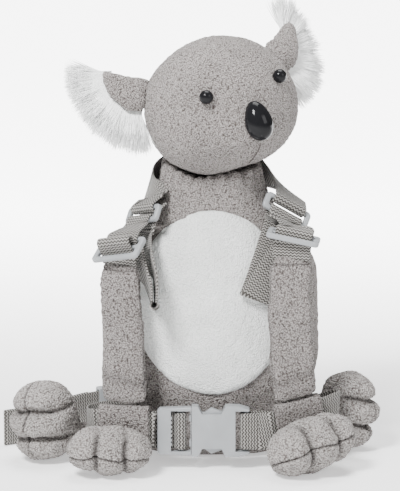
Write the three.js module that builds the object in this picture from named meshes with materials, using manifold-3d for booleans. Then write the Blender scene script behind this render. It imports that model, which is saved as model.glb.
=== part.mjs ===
// A toddler's harness backpack in the form of a sitting plush koala.
// The body is a padded pouch, zipped at the back. The arms are padded shoulder straps,
// hung from the neck on webbing, and a waist strap with a side-release buckle runs through their cuffs.
// Millimetres, +Z up, the face towards -Y. The origin is the centre of the flat seat under the body.
// "left" and "right" are as seen from the front.

import * as THREE from 'three';
import { mergeVertices } from 'three/addons/utils/BufferGeometryUtils.js';
import Module from 'manifold-3d';

const wasm = await Module();
wasm.setup();
const rad = THREE.MathUtils.degToRad;
const v3 = (x, y, z) => new THREE.Vector3(x, y, z);

// Clearances and cloth thicknesses
const SEAT_GAP = 0.3;
const PLUSH_WALL = 6;
const PATCH_THICKNESS = 2;
const CUFF_WALL = 2.5;

// Body
const BODY_HEIGHT = 205;
const BODY_WIDTH = 150;
const BODY_DEPTH = 98;
const BODY_SQUARENESS = 2.4;
const BODY_SIDES = 28;
const BODY_SECTIONS = [
  { height: 0, width: 0.62, depth: 0.62 },
  { height: 0.022, width: 0.74, depth: 0.76 },
  { height: 0.08, width: 0.85, depth: 0.88 },
  { height: 0.18, width: 0.93, depth: 0.96 },
  { height: 0.3, width: 0.985, depth: 1 },
  { height: 0.44, width: 1, depth: 0.99 },
  { height: 0.55, width: 0.99, depth: 0.95 },
  { height: 0.635, width: 0.95, depth: 0.89 },
  { height: 0.695, width: 0.88, depth: 0.83 },
  { height: 0.75, width: 0.76, depth: 0.76 },
  { height: 0.8, width: 0.64, depth: 0.7 },
  { height: 0.85, width: 0.55, depth: 0.65 },
  { height: 0.9, width: 0.5, depth: 0.61 },
  { height: 1, width: 0.44, depth: 0.56 },
];
const POUCH_TOP = 0.8; // share of the body's height that the hollow reaches
const TUMMY = { width: 106, height: 123, rise: 0.5317 }; // its centre's share of the body's height
const ZIP = { width: 100, gape: 9, tape: 7, thickness: 1.6, height: 122 };

// Head, in its own frame: x to its left cheek, -y out of the face, z up
const HEAD_WIDTH = 111;
const HEAD_DEPTH = 104;
const HEAD_HEIGHT = 96;
const HEAD_SINK = 13.5; // how far the head's lowest point lies under the body's top
const HEAD_SIDEWAYS = 0.045; // share of its width
const HEAD_FORWARD = 0.048; // share of its depth
const HEAD_TURN = 26; // degrees to the viewer's right
const HEAD_TILT = -13; // degrees, the crown leaning to the viewer's left
const HEAD_ROWS = 13;
const HEAD_COLUMNS = 22;
const HEAD_BLEND = 3; // how softly the lobes run into one another
const HEAD_LOBES = [
  { x: 0, y: 0, z: 0.06, width: 0.95, depth: 0.97, height: 0.93 }, // crown
  { x: -0.2, y: -0.06, z: -0.2, width: 0.76, depth: 0.82, height: 0.74 }, // cheek
  { x: 0.2, y: -0.06, z: -0.2, width: 0.76, depth: 0.82, height: 0.74 }, // cheek
  { x: 0, y: -0.2, z: -0.24, width: 0.62, depth: 0.82, height: 0.62 }, // muzzle
];
// drop and rise are shares of the head's height, sunk a share of the eye's diameter
const NOSE = { width: 18.5, height: 27, depth: 17, drop: 0.1146 };
const EYE = { diameter: 9.4, rise: 0.125, bearing: 33, sunk: 0.128 };

// Ears, each in the plane of its petal: "across" runs up the root, "out" from the root to the tip
const EAR = { length: 33, root: 29, thickness: 6, cup: 4, sides: 10 };
const EAR_POSES = {
  // the root's centre is in shares of the head's half sizes
  // and its locks of fur fan out between two headings, in degrees from "out"
  left: { root: v3(-0.78, 0.3, 0.37), across: v3(0.475, 0.2, 0.861), out: v3(-0.76, 0.38, 0.5), fan: [-106, -4] },
  right: { root: v3(0.92, 0.06, 0.42), across: v3(-0.42, 0.2, 0.885), out: v3(0.84, 0.5, 0.3), fan: [-92, 40] },
};
const EAR_SECTIONS = [
  { out: -0.32, low: -0.8, high: 0.76, thickness: 0.9 },
  { out: 0.05, low: -1.02, high: 0.86, thickness: 1 },
  { out: 0.3, low: -1.06, high: 0.84, thickness: 1 },
  { out: 0.55, low: -0.86, high: 0.82, thickness: 1 },
  { out: 0.78, low: -0.46, high: 0.85, thickness: 1 },
  { out: 0.93, low: 0.02, high: 0.88, thickness: 1 },
  { out: 1.02, low: 0.42, high: 0.8, thickness: 0.6 },
];
const EAR_FUR = { length: 27, root: 6, tip: 0.8, sides: 4, droop: 3 };
const EAR_FUR_GAP = 0.6;
const EAR_LOCKS = [
  // from the root's lower end to the tip; a lock also leans out of the petal's plane
  { lean: 0.3, length: 0.86 },
  { lean: -0.05, length: 0.96 },
  { lean: 0.35, length: 0.98 },
  { lean: 0, length: 1.02 },
  { lean: 0.35, length: 1 },
  { lean: 0, length: 1.05 },
  { lean: 0.35, length: 1 },
  { lean: 0, length: 1.02 },
  { lean: 0.3, length: 0.9 },
];

// Webbing and its plastic fittings
const WEBBING_WIDTH = 25;
const WEBBING_THICKNESS = 1.4;
const FITTING_BAR = 3.4;
const FITTING_RAIL = 3.8;
const FITTING_BEVEL = 0.6;
const FITTING_SIDE_ROOM = 1.4; // between the webbing's edge and the fitting's rail
const LEAD_LENGTH = 5; // straight run of an adjuster strap next to a fitting's bar
const SLIDER_OPENING = 5.6; // between the two bars of a strap slider
const LOCK_SLOT = 4.9; // each slot of a ladder lock

// Arms, the padded shoulder straps
const ARM_WIDTH = 32;
const ARM_THICKNESS = 12;
const ARM_SIDES = 12;
const ARM_SQUARENESS = 3;
const ARM_ROOM = 4.5; // from the tummy's patch to the back of a pad
const ARM_SECTIONS = [
  { down: 0, width: 0.8, thickness: 0.34 },
  { down: 0.03, width: 0.86, thickness: 0.58 },
  { down: 0.1, width: 0.96, thickness: 0.86 },
  { down: 0.2, width: 0.99, thickness: 0.98 },
  { down: 0.4, width: 0.98, thickness: 1 },
  { down: 0.6, width: 1, thickness: 1 },
  { down: 0.78, width: 1.03, thickness: 1 },
  { down: 0.92, width: 1.07, thickness: 0.9 },
  { down: 1, width: 1.09, thickness: 0.7 },
];
const CUFF_LENGTH = 35;
const CUFF_CORNER = 2;

// Hands and feet, stuffed mitts with three lobes
const HAND = { width: 60, length: 46, thickness: 38 };
const FOOT = { width: 53, length: 50, thickness: 46 };
const MITT_LOBES = 3;
const MITT_GROOVE = 0.22; // depth of the grooves, as a share of the radius
const MITT_GROOVE_WIDTH = 0.17;
const MITT_ROWS = 14;
const MITT_COLUMNS = 12;
const MITT_SQUARENESS = 2.3;

// Legs
const LEG_THICKNESS = 20;
const LEG_SIDES = 10;

// Waist strap and buckle
const BUCKLE = { length: 61.6, height: 34.5, thickness: 9, plate: 9, teeth: 3, tongue: 24 };
const BUCKLE_CASE = { wall: 3.1, cavity: 4.4, near: 4.4, far: 22.6, window: 8, frame: 2.9, shoulder: 2, rim: 3.5 };
const BUCKLE_NOTCH = { depth: 5.4, slope: 2.6 };
const BUCKLE_FRAME = { inset: 1.6, thickness: 5.8, front: 1.2, corner: 1.5, flare: 0.8, bar: 2.4, teeth: 7 };
// a prong's outline: along it from the case's mouth, or back from its tip, and in from the frame's edge
const BUCKLE_PRONG = {
  thickness: 3.6,
  root: -1.5,
  outer: [
    { along: 5.2, inward: 5.8 },
    { along: 13.2, inward: 0 },
  ],
  tip: [
    { back: 2, inward: 3.2 },
    { back: 0, inward: 5.8 },
    { back: 8, inward: 8.2 },
  ],
  rootInward: { outer: 5, inner: 9 },
};
const WAIST_HEIGHT = 26.5;
const HEM_LENGTH = 18;

// A point of the figure, as shares of the body's width, depth and height.
const onBody = (x, y, z) => v3(x * BODY_WIDTH, y * BODY_DEPTH, z * BODY_HEIGHT);

const patchFront = BODY_DEPTH / 2 + SEAT_GAP + PATCH_THICKNESS;
const armDepth = patchFront + ARM_ROOM + ARM_THICKNESS / 2;

// Solids

// The faces between the chord of two ring points and the ring itself.
function arcFaces(ring, from, to) {
  if (to - from < 2) return [];
  const middle = Math.floor((from + to) / 2);
  const face = [ring[from], ring[middle], ring[to % ring.length]];
  return [face, ...arcFaces(ring, from, middle), ...arcFaces(ring, middle, to)];
}

// A flat cap with one large face over its centre.
function capFaces(ring) {
  const second = Math.round(ring.length / 3);
  const third = Math.round((2 * ring.length) / 3);
  return [
    [ring[0], ring[second], ring[third]],
    ...arcFaces(ring, 0, second),
    ...arcFaces(ring, second, third),
    ...arcFaces(ring, third, ring.length),
  ];
}

function signedVolume(points, faces) {
  const normal = v3();
  return faces.reduce((sum, [a, b, c]) => sum + normal.crossVectors(points[a], points[b]).dot(points[c]), 0) / 6;
}

// One closed surface through rings of points. An end closes on an apex point or, without one, on a
// flat cap; a loop closes on its own first ring.
function loft(rings, { first = null, last = null, loop = false } = {}) {
  const sides = rings[0].length;
  const points = rings.flat();
  const faces = [];
  const index = (row, column) => (row % rings.length) * sides + (column % sides);
  const rows = loop ? rings.length : rings.length - 1;
  for (let row = 0; row < rows; row++) {
    for (let column = 0; column < sides; column++) {
      const [a, b] = [index(row, column), index(row, column + 1)];
      const [c, d] = [index(row + 1, column + 1), index(row + 1, column)];
      faces.push([a, b, c], [a, c, d]);
    }
  }
  const close = (row, apex, turned) => {
    const ring = Array.from({ length: sides }, (_, column) => index(row, column));
    const around = apex ? ring.map((a, column) => [a, ring[(column + 1) % sides], points.length]) : capFaces(ring);
    if (apex) points.push(apex);
    faces.push(...around.map((face) => (turned ? face.toReversed() : face)));
  };
  if (!loop) {
    close(0, first, true);
    close(rings.length - 1, last, false);
  }
  if (signedVolume(points, faces) < 0) faces.forEach((face) => face.reverse());
  const geometry = new THREE.BufferGeometry().setFromPoints(points);
  return geometry.setIndex(faces.flat());
}

function manifoldOf(geometry) {
  const bare = new THREE.BufferGeometry().setAttribute('position', geometry.getAttribute('position'));
  if (geometry.index) bare.setIndex(geometry.index);
  const merged = mergeVertices(bare, 1e-3);
  return new wasm.Manifold(
    new wasm.Mesh({
      numProp: 3,
      vertProperties: new Float32Array(merged.attributes.position.array),
      triVerts: new Uint32Array(merged.index.array),
    }),
  );
}

function geometryOf(manifold) {
  const mesh = manifold.getMesh();
  const positions = new Float32Array(mesh.numVert * 3);
  for (let i = 0; i < mesh.numVert; i++) {
    positions.set(mesh.vertProperties.subarray(i * mesh.numProp, i * mesh.numProp + 3), i * 3);
  }
  const geometry = new THREE.BufferGeometry().setAttribute('position', new THREE.BufferAttribute(positions, 3));
  return geometry.setIndex(new THREE.BufferAttribute(mesh.triVerts, 1)).toNonIndexed();
}

// The first solid with the others cut away.
function cut(geometry, ...others) {
  const cutters = others.map(manifoldOf);
  return geometryOf(cutters.reduce((left, cutter) => left.subtract(cutter), manifoldOf(geometry)));
}

function overlapOf(geometry, other) {
  return geometryOf(manifoldOf(geometry).intersect(manifoldOf(other)));
}

// The largest connected body of a solid, for a piece whose cut leaves crumbs.
function largest(geometry) {
  const bodies = manifoldOf(geometry).decompose();
  return geometryOf(bodies.reduce((best, body) => (body.volume() > best.volume() ? body : best)));
}

const placed = (geometry, matrix) => geometry.clone().applyMatrix4(matrix);

// A point on a superellipse of half sizes a and b.
function superellipse(angle, a, b, squareness) {
  const [c, s] = [Math.cos(angle), Math.sin(angle)];
  const power = 2 / squareness;
  return [a * Math.sign(c) * Math.abs(c) ** power, b * Math.sign(s) * Math.abs(s) ** power];
}

// A right-angled frame: x across the webbing, y back towards the shoulder, z out of its face.
function frameOf(origin, across, back) {
  const x = across.clone().normalize();
  const y = back.clone().addScaledVector(x, -back.dot(x)).normalize();
  const z = v3().crossVectors(x, y);
  const matrix = new THREE.Matrix4().makeBasis(x, y, z).setPosition(origin);
  return { x, y, z, matrix, at: (a, b, c) => v3(a, b, c).applyMatrix4(matrix) };
}

// Body

const bodyTable = BODY_SECTIONS.map((section) => ({
  z: section.height * BODY_HEIGHT,
  halfWidth: (section.width * BODY_WIDTH) / 2,
  halfDepth: (section.depth * BODY_DEPTH) / 2,
}));

function bodyRing({ z, halfWidth, halfDepth }, grow, sides) {
  return Array.from({ length: sides }, (_, i) => {
    const [x, y] = superellipse((2 * Math.PI * i) / sides, halfWidth + grow, halfDepth + grow, BODY_SQUARENESS);
    return v3(x, y, z);
  });
}

// The body's outer form, moved outwards by a distance on all sides but the seat.
function bodyForm(grow) {
  const rings = bodyTable.map((row) => bodyRing(row, grow, BODY_SIDES));
  const top = bodyTable.at(-1);
  if (grow > 0) rings.push(bodyRing({ ...top, z: top.z + grow }, grow, BODY_SIDES));
  return loft(rings);
}

function pouchForm() {
  const floor = bodyTable[1];
  const rows = bodyTable.filter(({ z }) => z > PLUSH_WALL && z <= POUCH_TOP * BODY_HEIGHT);
  const rings = [{ ...floor, z: PLUSH_WALL }, ...rows].map((row) => bodyRing(row, -PLUSH_WALL, BODY_SIDES / 2));
  return loft(rings);
}

// A flat slot with round ends, standing through the back of the body.
function zipPrism(width, height) {
  const half = (width - height) / 2;
  const outline = new THREE.Shape();
  outline.absarc(half, 0, height / 2, -Math.PI / 2, Math.PI / 2, false);
  outline.absarc(-half, 0, height / 2, Math.PI / 2, (3 * Math.PI) / 2, false);
  const prism = new THREE.ExtrudeGeometry(outline, { depth: BODY_DEPTH, bevelEnabled: false, curveSegments: 3 });
  return prism.rotateX(Math.PI / 2).translate(0, BODY_DEPTH + PLUSH_WALL, ZIP.height);
}

function bodyGeometry(headForm) {
  return largest(cut(bodyForm(0), pouchForm(), zipPrism(ZIP.width, ZIP.gape), headForm));
}

// A skin over the body: the layer from one seat gap to its thickness, within a prism along Y.
function skinGeometry(prism, thickness) {
  return largest(cut(overlapOf(bodyForm(SEAT_GAP + thickness), prism), bodyForm(SEAT_GAP)));
}

function tummyGeometry() {
  const prism = new THREE.CylinderGeometry(0.5, 0.5, BODY_DEPTH, 28);
  prism.scale(TUMMY.width, 1, TUMMY.height).translate(0, -BODY_DEPTH / 2, TUMMY.rise * BODY_HEIGHT);
  return skinGeometry(prism, PATCH_THICKNESS);
}

function zipGeometry() {
  const border = zipPrism(ZIP.width + 2 * ZIP.tape, ZIP.gape + 2 * ZIP.tape);
  return cut(skinGeometry(border, ZIP.thickness), zipPrism(ZIP.width, ZIP.gape));
}

// Head

// How far a ray from the head's centre runs before it leaves a lobe.
function lobeReach(direction, lobe) {
  const sizes = v3((lobe.width * HEAD_WIDTH) / 2, (lobe.depth * HEAD_DEPTH) / 2, (lobe.height * HEAD_HEIGHT) / 2);
  const centre = v3((lobe.x * HEAD_WIDTH) / 2, (lobe.y * HEAD_DEPTH) / 2, (lobe.z * HEAD_HEIGHT) / 2).divide(sizes);
  const ray = direction.clone().divide(sizes);
  const along = ray.dot(centre);
  return (along + Math.sqrt(along ** 2 - ray.lengthSq() * (centre.lengthSq() - 1))) / ray.lengthSq();
}

// The head's surface along a direction: the lobes' farthest reach, blended.
function headReach(direction) {
  const reaches = HEAD_LOBES.map((lobe) => lobeReach(direction, lobe));
  return HEAD_BLEND * Math.log(reaches.reduce((sum, reach) => sum + Math.exp(reach / HEAD_BLEND), 0));
}

function headForm(grow) {
  const point = (bearing, rise) => {
    const direction = v3(Math.cos(rise) * Math.cos(bearing), Math.cos(rise) * Math.sin(bearing), Math.sin(rise));
    return direction.multiplyScalar(headReach(direction) + grow);
  };
  const rings = Array.from({ length: HEAD_ROWS - 1 }, (_, row) => {
    const rise = -Math.PI / 2 + (Math.PI * (row + 1)) / HEAD_ROWS;
    return Array.from({ length: HEAD_COLUMNS }, (_, i) => point((2 * Math.PI * i) / HEAD_COLUMNS, rise));
  });
  return loft(rings, { first: point(0, -Math.PI / 2), last: point(0, Math.PI / 2) });
}

// The surface point straight out along a bearing from the face, at a height over the head's centre.
function headPoint(bearing, height) {
  let point = v3();
  let rise = 0;
  for (let step = 0; step < 12; step++) {
    const direction = v3(
      Math.cos(rise) * Math.sin(bearing),
      -Math.cos(rise) * Math.cos(bearing),
      Math.sin(rise),
    );
    point = direction.multiplyScalar(headReach(direction));
    rise += (height - point.z) / HEAD_HEIGHT;
  }
  return point;
}

function noseGeometry() {
  const seat = headPoint(0, -NOSE.drop * HEAD_HEIGHT);
  const steps = 7;
  const profile = Array.from({ length: steps + 1 }, (_, i) => {
    const angle = -Math.PI / 2 + (Math.PI * i) / steps;
    const girth = Math.cos(angle) * (1 - 0.16 * Math.sin(angle));
    return new THREE.Vector2(i % steps ? girth / 2 : 0, Math.sin(angle) / 2);
  });
  const egg = new THREE.LatheGeometry(profile, 14).rotateX(Math.PI / 2);
  egg.scale(NOSE.width, NOSE.depth, NOSE.height).rotateX(rad(-8)).translate(seat.x, seat.y, seat.z);
  return cut(egg, headForm(SEAT_GAP));
}

function eyeGeometry(side) {
  const seat = headPoint(side * rad(EYE.bearing), EYE.rise * HEAD_HEIGHT);
  const centre = seat.clone().setLength(seat.length() + EYE.diameter * (0.25 - EYE.sunk));
  const bead = new THREE.SphereGeometry(EYE.diameter / 2, 10, 6).rotateX(Math.PI / 2);
  return cut(bead.translate(centre.x, centre.y, centre.z), headForm(SEAT_GAP));
}

// Ears

function earFrame(side) {
  const pose = side < 0 ? EAR_POSES.left : EAR_POSES.right;
  const centre = pose.root.clone().multiply(v3(HEAD_WIDTH / 2, HEAD_DEPTH / 2, HEAD_HEIGHT / 2));
  const across = pose.across.clone().normalize();
  const out = pose.out.clone().addScaledVector(across, -pose.out.dot(across)).normalize();
  const face = v3().crossVectors(across, out).multiplyScalar(side);
  return (a, o, f) =>
    centre.clone().addScaledVector(across, a).addScaledVector(out, o).addScaledVector(face, f);
}

// How far the petal's middle surface is cupped at a place between its two edges, from -1 to 1.
const earCup = (place) => EAR.cup * (place ** 2 - 1);

function earForm(side, grow) {
  const at = earFrame(side);
  const rings = EAR_SECTIONS.map(({ out, low, high, thickness }) => {
    const [middle, half] = [((low + high) * EAR.root) / 4, ((high - low) * EAR.root) / 4];
    return Array.from({ length: EAR.sides }, (_, i) => {
      const [place, side_] = superellipse((2 * Math.PI * i) / EAR.sides, 1, 1, 2.3);
      const depth = side_ * ((EAR.thickness * thickness) / 2 + grow);
      const reach = out * EAR.length + (out > 0.5 ? grow : 0);
      return at(middle + place * (half + grow), reach, depth + earCup(place));
    });
  });
  return loft(rings);
}

function earGeometry(side) {
  return largest(cut(earForm(side, 0), headForm(SEAT_GAP)));
}

// The petal's free edge, from the root's lower end out to the tip.
function earRim(share) {
  const rows = EAR_SECTIONS.slice(1).map(({ out, low }) => v3((low * EAR.root) / 2, out * EAR.length, 0));
  rows.push(v3((EAR_SECTIONS.at(-1).high * EAR.root) / 2, EAR.length, 0));
  return new THREE.CatmullRomCurve3(rows).getPoint(share);
}

// White fur sewn along the ear's free edge: pointed locks fused to a soft backing bead.
function earFurGeometry(side) {
  const at = earFrame(side);
  const front = EAR.thickness / 2 + EAR_FUR.root * 0.35;
  const { fan } = side < 0 ? EAR_POSES.left : EAR_POSES.right;
  const lock = ({ lean, length }, i) => {
    const share = i / (EAR_LOCKS.length - 1);
    const heading = THREE.MathUtils.lerp(...fan, share);
    const start = earRim(share);
    const [across, out] = [Math.sin(rad(heading)), Math.cos(rad(heading))];
    const reach = EAR_FUR.length * length;
    const stations = [-0.18, 0.2, 0.6].map((place) => {
      const centre = at(
        start.x + across * place * reach,
        start.y + out * place * reach,
        front + lean * place * reach - EAR_FUR.droop * place ** 2,
      );
      const radius = THREE.MathUtils.lerp(EAR_FUR.root, EAR_FUR.tip, place > 0 ? place ** 1.4 : 0.25);
      return Array.from({ length: EAR_FUR.sides }, (_, i) => {
        const angle = (2 * Math.PI * i) / EAR_FUR.sides;
        const offset = at(-out * Math.cos(angle) * radius, across * Math.cos(angle) * radius, Math.sin(angle) * radius);
        return offset.sub(at(0, 0, 0)).add(centre);
      });
    });
    const tip = at(
      start.x + across * reach,
      start.y + out * reach,
      front + lean * reach - EAR_FUR.droop,
    );
    const root = at(start.x - across * 0.3 * reach, start.y - out * 0.3 * reach, front);
    return manifoldOf(loft(stations, { first: root, last: tip }));
  };
  const tuft = EAR_LOCKS.map(lock).reduce((whole, one) => whole.add(one));
  return largest(cut(geometryOf(tuft), earForm(side, EAR_FUR_GAP), headForm(SEAT_GAP)));
}

// Webbing

// A flat strap through stations, each a point and the direction across the webbing.
function webbing(stations, { loop = false, grow = 0 } = {}) {
  const count = stations.length;
  const rings = stations.map(({ at, across }, i) => {
    const before = stations[loop ? (i + count - 1) % count : Math.max(i - 1, 0)].at;
    const after = stations[loop ? (i + 1) % count : Math.min(i + 1, count - 1)].at;
    const along = v3().subVectors(after, before).normalize();
    const side = across.clone().addScaledVector(along, -across.dot(along)).setLength(WEBBING_WIDTH / 2 + grow);
    const face = v3().crossVectors(side, along).setLength(WEBBING_THICKNESS / 2 + grow);
    return [
      [1, 1],
      [-1, 1],
      [-1, -1],
      [1, -1],
    ].map(([a, b]) => at.clone().addScaledVector(side, a).addScaledVector(face, b));
  });
  return loft(rings, { loop });
}

// Stations on an arc about a bar of a fitting, in the plane across the bar.
function wrap(frame, centre, radius, fromAngle, toAngle, steps = 6) {
  return Array.from({ length: steps + 1 }, (_, i) => {
    const angle = rad(THREE.MathUtils.lerp(fromAngle, toAngle, i / steps));
    return {
      at: frame.at(0, centre.y + radius * Math.cos(angle), (centre.z ?? 0) + radius * Math.sin(angle)),
      across: frame.x,
    };
  });
}

// A station a distance further along a line that leaves a fitting, with the webbing still square to it.
function lead(frame, station, y, z, distance) {
  const along = v3().addScaledVector(frame.y, y).addScaledVector(frame.z, z).setLength(distance);
  return { at: station.at.clone().add(along), across: frame.x };
}

// Stations along one smooth run through a few chosen ones.
function run(stations, steps) {
  const line = new THREE.CatmullRomCurve3(stations.map(({ at }) => at), false, 'centripetal');
  const turn = new THREE.CatmullRomCurve3(stations.map(({ across }) => across));
  return Array.from({ length: steps + 1 }, (_, i) => ({
    at: line.getPoint(i / steps),
    across: turn.getPoint(i / steps).normalize(),
  }));
}

const fittingWidth = WEBBING_WIDTH + 2 * (FITTING_SIDE_ROOM + FITTING_RAIL);
const wrapRadius = FITTING_BAR * 0.62 + SEAT_GAP + WEBBING_THICKNESS / 2;
const sliderBarAt = (SLIDER_OPENING + FITTING_BAR) / 2;
const lockPitch = LOCK_SLOT + FITTING_BAR;

function roundedRectangle(target, width, height, radius) {
  const [x, y] = [width / 2 - radius, height / 2 - radius];
  target.absarc(x, y, radius, 0, Math.PI / 2, false);
  target.absarc(-x, y, radius, Math.PI / 2, Math.PI, false);
  target.absarc(-x, -y, radius, Math.PI, (3 * Math.PI) / 2, false);
  target.absarc(x, -y, radius, (3 * Math.PI) / 2, 2 * Math.PI, false);
  return target;
}

// A flat moulded fitting: a rounded frame with a row of slots between its bars.
function fittingGeometry(slots, slot) {
  const length = slots * slot + (slots + 1) * FITTING_BAR;
  const outline = roundedRectangle(new THREE.Shape(), fittingWidth, length, 3);
  for (let i = 0; i < slots; i++) {
    const hole = roundedRectangle(new THREE.Path(), fittingWidth - 2 * FITTING_RAIL, slot, 1);
    const shift = (i - (slots - 1) / 2) * (slot + FITTING_BAR);
    outline.holes.push(new THREE.Path(hole.getPoints(1).map((p) => p.setY(p.y + shift))));
  }
  const thickness = FITTING_BAR - 2 * FITTING_BEVEL;
  return new THREE.ExtrudeGeometry(outline, {
    depth: thickness,
    bevelThickness: FITTING_BEVEL,
    bevelSize: FITTING_BEVEL,
    bevelOffset: -FITTING_BEVEL,
    bevelSegments: 1,
    curveSegments: 2,
  }).translate(0, 0, -thickness / 2);
}

// The two sides, each with its own pose. Places are shares of the body's sizes.
const SIDES = {
  left: {
    side: -1,
    slider: frameOf(onBody(-0.307, -0.32, 0.819), v3(0.6, -0.77, 0.2), v3(0.27, 0.45, 0.85)),
    slack: 6.5, // how far the arm's tab stands up over the lock
    fall: 32, // degrees that the neck strap falls away behind the slider
    lock: frameOf(onBody(-0.412, -0.596, 0.724), v3(0.85, -0.46, 0.18), v3(0.33, 0.8, 0.5)),
    neck: [
      { at: onBody(-0.262, -0.08, 0.873), across: v3(0.75, -0.6, 0.25) },
      { at: onBody(-0.25, 0.11, 0.9), across: v3(0.75, -0.3, 0.55) },
      { at: onBody(-0.21, 0.24, 0.92), across: v3(0.25, 0.1, 0.96) },
      { at: onBody(-0.12, 0.32, 0.925), across: v3(0.1, 0.05, 1) },
      { at: onBody(-0.05, 0.25, 0.915), across: v3(0.05, 0, 1) },
    ],
    tail: {
      front: [{ at: onBody(-0.29, -0.57, 0.62), across: v3(0.3, -0.95, 0) }],
      bottom: { at: onBody(-0.262, -0.635, 0.545), across: v3(0.05, -1, 0) },
      stand: -4.5, // where it runs under the slider, out of the slider's plane
      back: [{ at: onBody(-0.254, -0.585, 0.64), across: v3(0.15, -1, 0) }],
    },
    arm: {
      top: { x: -0.408, z: 0.69, turn: -28 },
      middle: { x: -0.4, z: 0.52, turn: -9 },
      bottom: { x: -0.39, turn: -13 },
      forward: { top: -4.5, middle: 0, bottom: 4.5 },
    },
    cuff: { clear: 0.2, tilt: 0 }, // clear of the buckle, in shares of the webbing's width
    // out: from the cuff's centre to the hand's, in shares of the hand's width
    // z: in shares of the hand's thickness; width, length and thickness: shares of the named ones
    hand: { out: 0.1625, y: -0.842, z: 0.46, turn: 4, pitch: -6, roll: 3, width: 0.983, length: 0.978, thickness: 0.921 },
    // in shares of the foot's length, out: from the body's side; clear: at least so far from the cuff's end
    // z: in shares of its width
    foot: { out: 0.78, clear: 0.7, y: -0.41, z: 0.52, turn: -24, pitch: 0, roll: 84, width: 1.06, length: 1.06, thickness: 1.05 },
    // past: beyond the cuff's end, in shares of the webbing's width; x: in shares of the body's width
    waistBack: [
      { past: 0.298, y: -0.545, z: 0 },
      { past: 0.316, y: -0.43, z: 0 },
      { x: 0.49, y: -0.33, z: 0 },
      { x: 0.36, y: -0.24, z: 0 },
    ],
  },
  right: {
    side: 1,
    slider: frameOf(onBody(0.337, -0.265, 0.828), v3(0.84, 0.2, -0.5), v3(0.27, 0.5, 0.8)),
    slack: 2.5,
    fall: 42,
    lock: frameOf(onBody(0.361, -0.572, 0.763), v3(0.96, -0.12, -0.19), v3(0.2, 0.97, 0.04)),
    neck: [
      { at: onBody(0.335, -0.03, 0.885), across: v3(0.76, 0.13, -0.64) },
      { at: onBody(0.28, 0.11, 0.91), across: v3(0.56, 0.15, -0.81) },
      { at: onBody(0.2, 0.24, 0.93), across: v3(0.3, 0.05, -0.95) },
      { at: onBody(0.12, 0.3, 0.925), across: v3(0.1, 0, -1) },
      { at: onBody(0.05, 0.25, 0.915), across: v3(0.05, 0, -1) },
    ],
    tail: {
      front: [{ at: onBody(0.27, -0.53, 0.63), across: v3(0.93, 0.08, -0.35) }],
      bottom: { at: onBody(0.205, -0.54, 0.555), across: v3(0.93, 0.1, -0.35) },
      stand: 1,
      back: [{ at: onBody(0.25, -0.495, 0.65), across: v3(0.93, 0.08, -0.35) }],
    },
    arm: {
      top: { x: 0.352, z: 0.71, turn: 6 },
      middle: { x: 0.345, z: 0.52, turn: 4 },
      bottom: { x: 0.385, turn: 28 },
      forward: { top: -4, middle: -1, bottom: 0 },
    },
    cuff: { clear: 0.694, tilt: 8 },
    hand: { out: 0.1375, y: -0.79, z: 0.526, turn: 30, pitch: -22, roll: -10, width: 1.12, length: 1.1, thickness: 1.04 },
    foot: { out: 0.39, clear: 0.4, y: -0.1, z: 0.52, turn: 48, pitch: 0, roll: -84, width: 1.05, length: 0.98, thickness: 0.84 },
    waistBack: [
      { past: 0.498, y: -0.43, z: 0.045 },
      { past: 0.48, y: -0.35, z: 0.04 },
      { x: 0.5, y: -0.29, z: 0.02 },
      { x: 0.36, y: -0.22, z: 0 },
    ],
  },
};

// The neck strap: sewn to the back of the neck, over the shoulder and round the slider's rear bar.
function neckStrapGeometry({ slider, fall, neck }) {
  const around = wrap(slider, { y: sliderBarAt }, wrapRadius, 90 - fall, 270 - fall, 8);
  const away = [Math.cos(rad(fall)), -Math.sin(rad(fall))];
  const [start, hem] = [around[0], around.at(-1)].map((end) => lead(slider, end, ...away, HEM_LENGTH / 2));
  const over = run([...neck.toReversed(), start], 10);
  return largest(cut(webbing([...over, ...around, hem]), bodyForm(SEAT_GAP)));
}

// The adjuster strap, a slack loop: over the slider's front bar, down to the ladder lock's rear bar,
// on down to the fold of its hanging tail, and back up behind to the slider.
function adjusterStrapGeometry({ slider, lock, tail }) {
  const upper = wrap(slider, { y: -sliderBarAt }, wrapRadius, -90, 90);
  const lower = wrap(lock, { y: lockPitch }, wrapRadius, 90, 205, 5);
  const over = lead(slider, upper.at(-1), -1, 0.1, LEAD_LENGTH);
  const onto = lead(lock, lower[0], 1, 0.15, LEAD_LENGTH);
  const leave = lead(lock, lower.at(-1), 0.42, -0.91, LEAD_LENGTH);
  const comeBack = lead(slider, upper[0], -1, -0.1, LEAD_LENGTH);
  const behindPad = { at: lock.at(0, lockPitch, -0.7 * ARM_THICKNESS), across: lock.x };
  const underSlider = { at: slider.at(0, -sliderBarAt - ARM_THICKNESS, tail.stand), across: slider.x };
  const down = run([leave, behindPad, ...tail.front, tail.bottom], 8);
  const heading = v3().subVectors(down.at(-1).at, down.at(-2).at).normalize();
  const facing = v3().crossVectors(heading, tail.bottom.across).normalize();
  const towardsBack = Math.sign(facing.dot(v3().subVectors(tail.back[0].at, tail.front[0].at)));
  facing.multiplyScalar(towardsBack);
  const radius = WEBBING_THICKNESS / 2 + SEAT_GAP;
  const fold = Array.from({ length: 4 }, (_, i) => {
    const angle = (Math.PI * (i + 1)) / 4;
    const at = tail.bottom.at.clone().addScaledVector(facing, radius * (1 - Math.cos(angle)));
    return { at: at.addScaledVector(heading, radius * Math.sin(angle)), across: tail.bottom.across };
  });
  const up = run([fold.at(-1), ...tail.back, underSlider, comeBack], 8).slice(1);
  return webbing([...upper, over, onto, ...lower, ...down, ...fold, ...up], { loop: true });
}

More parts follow.
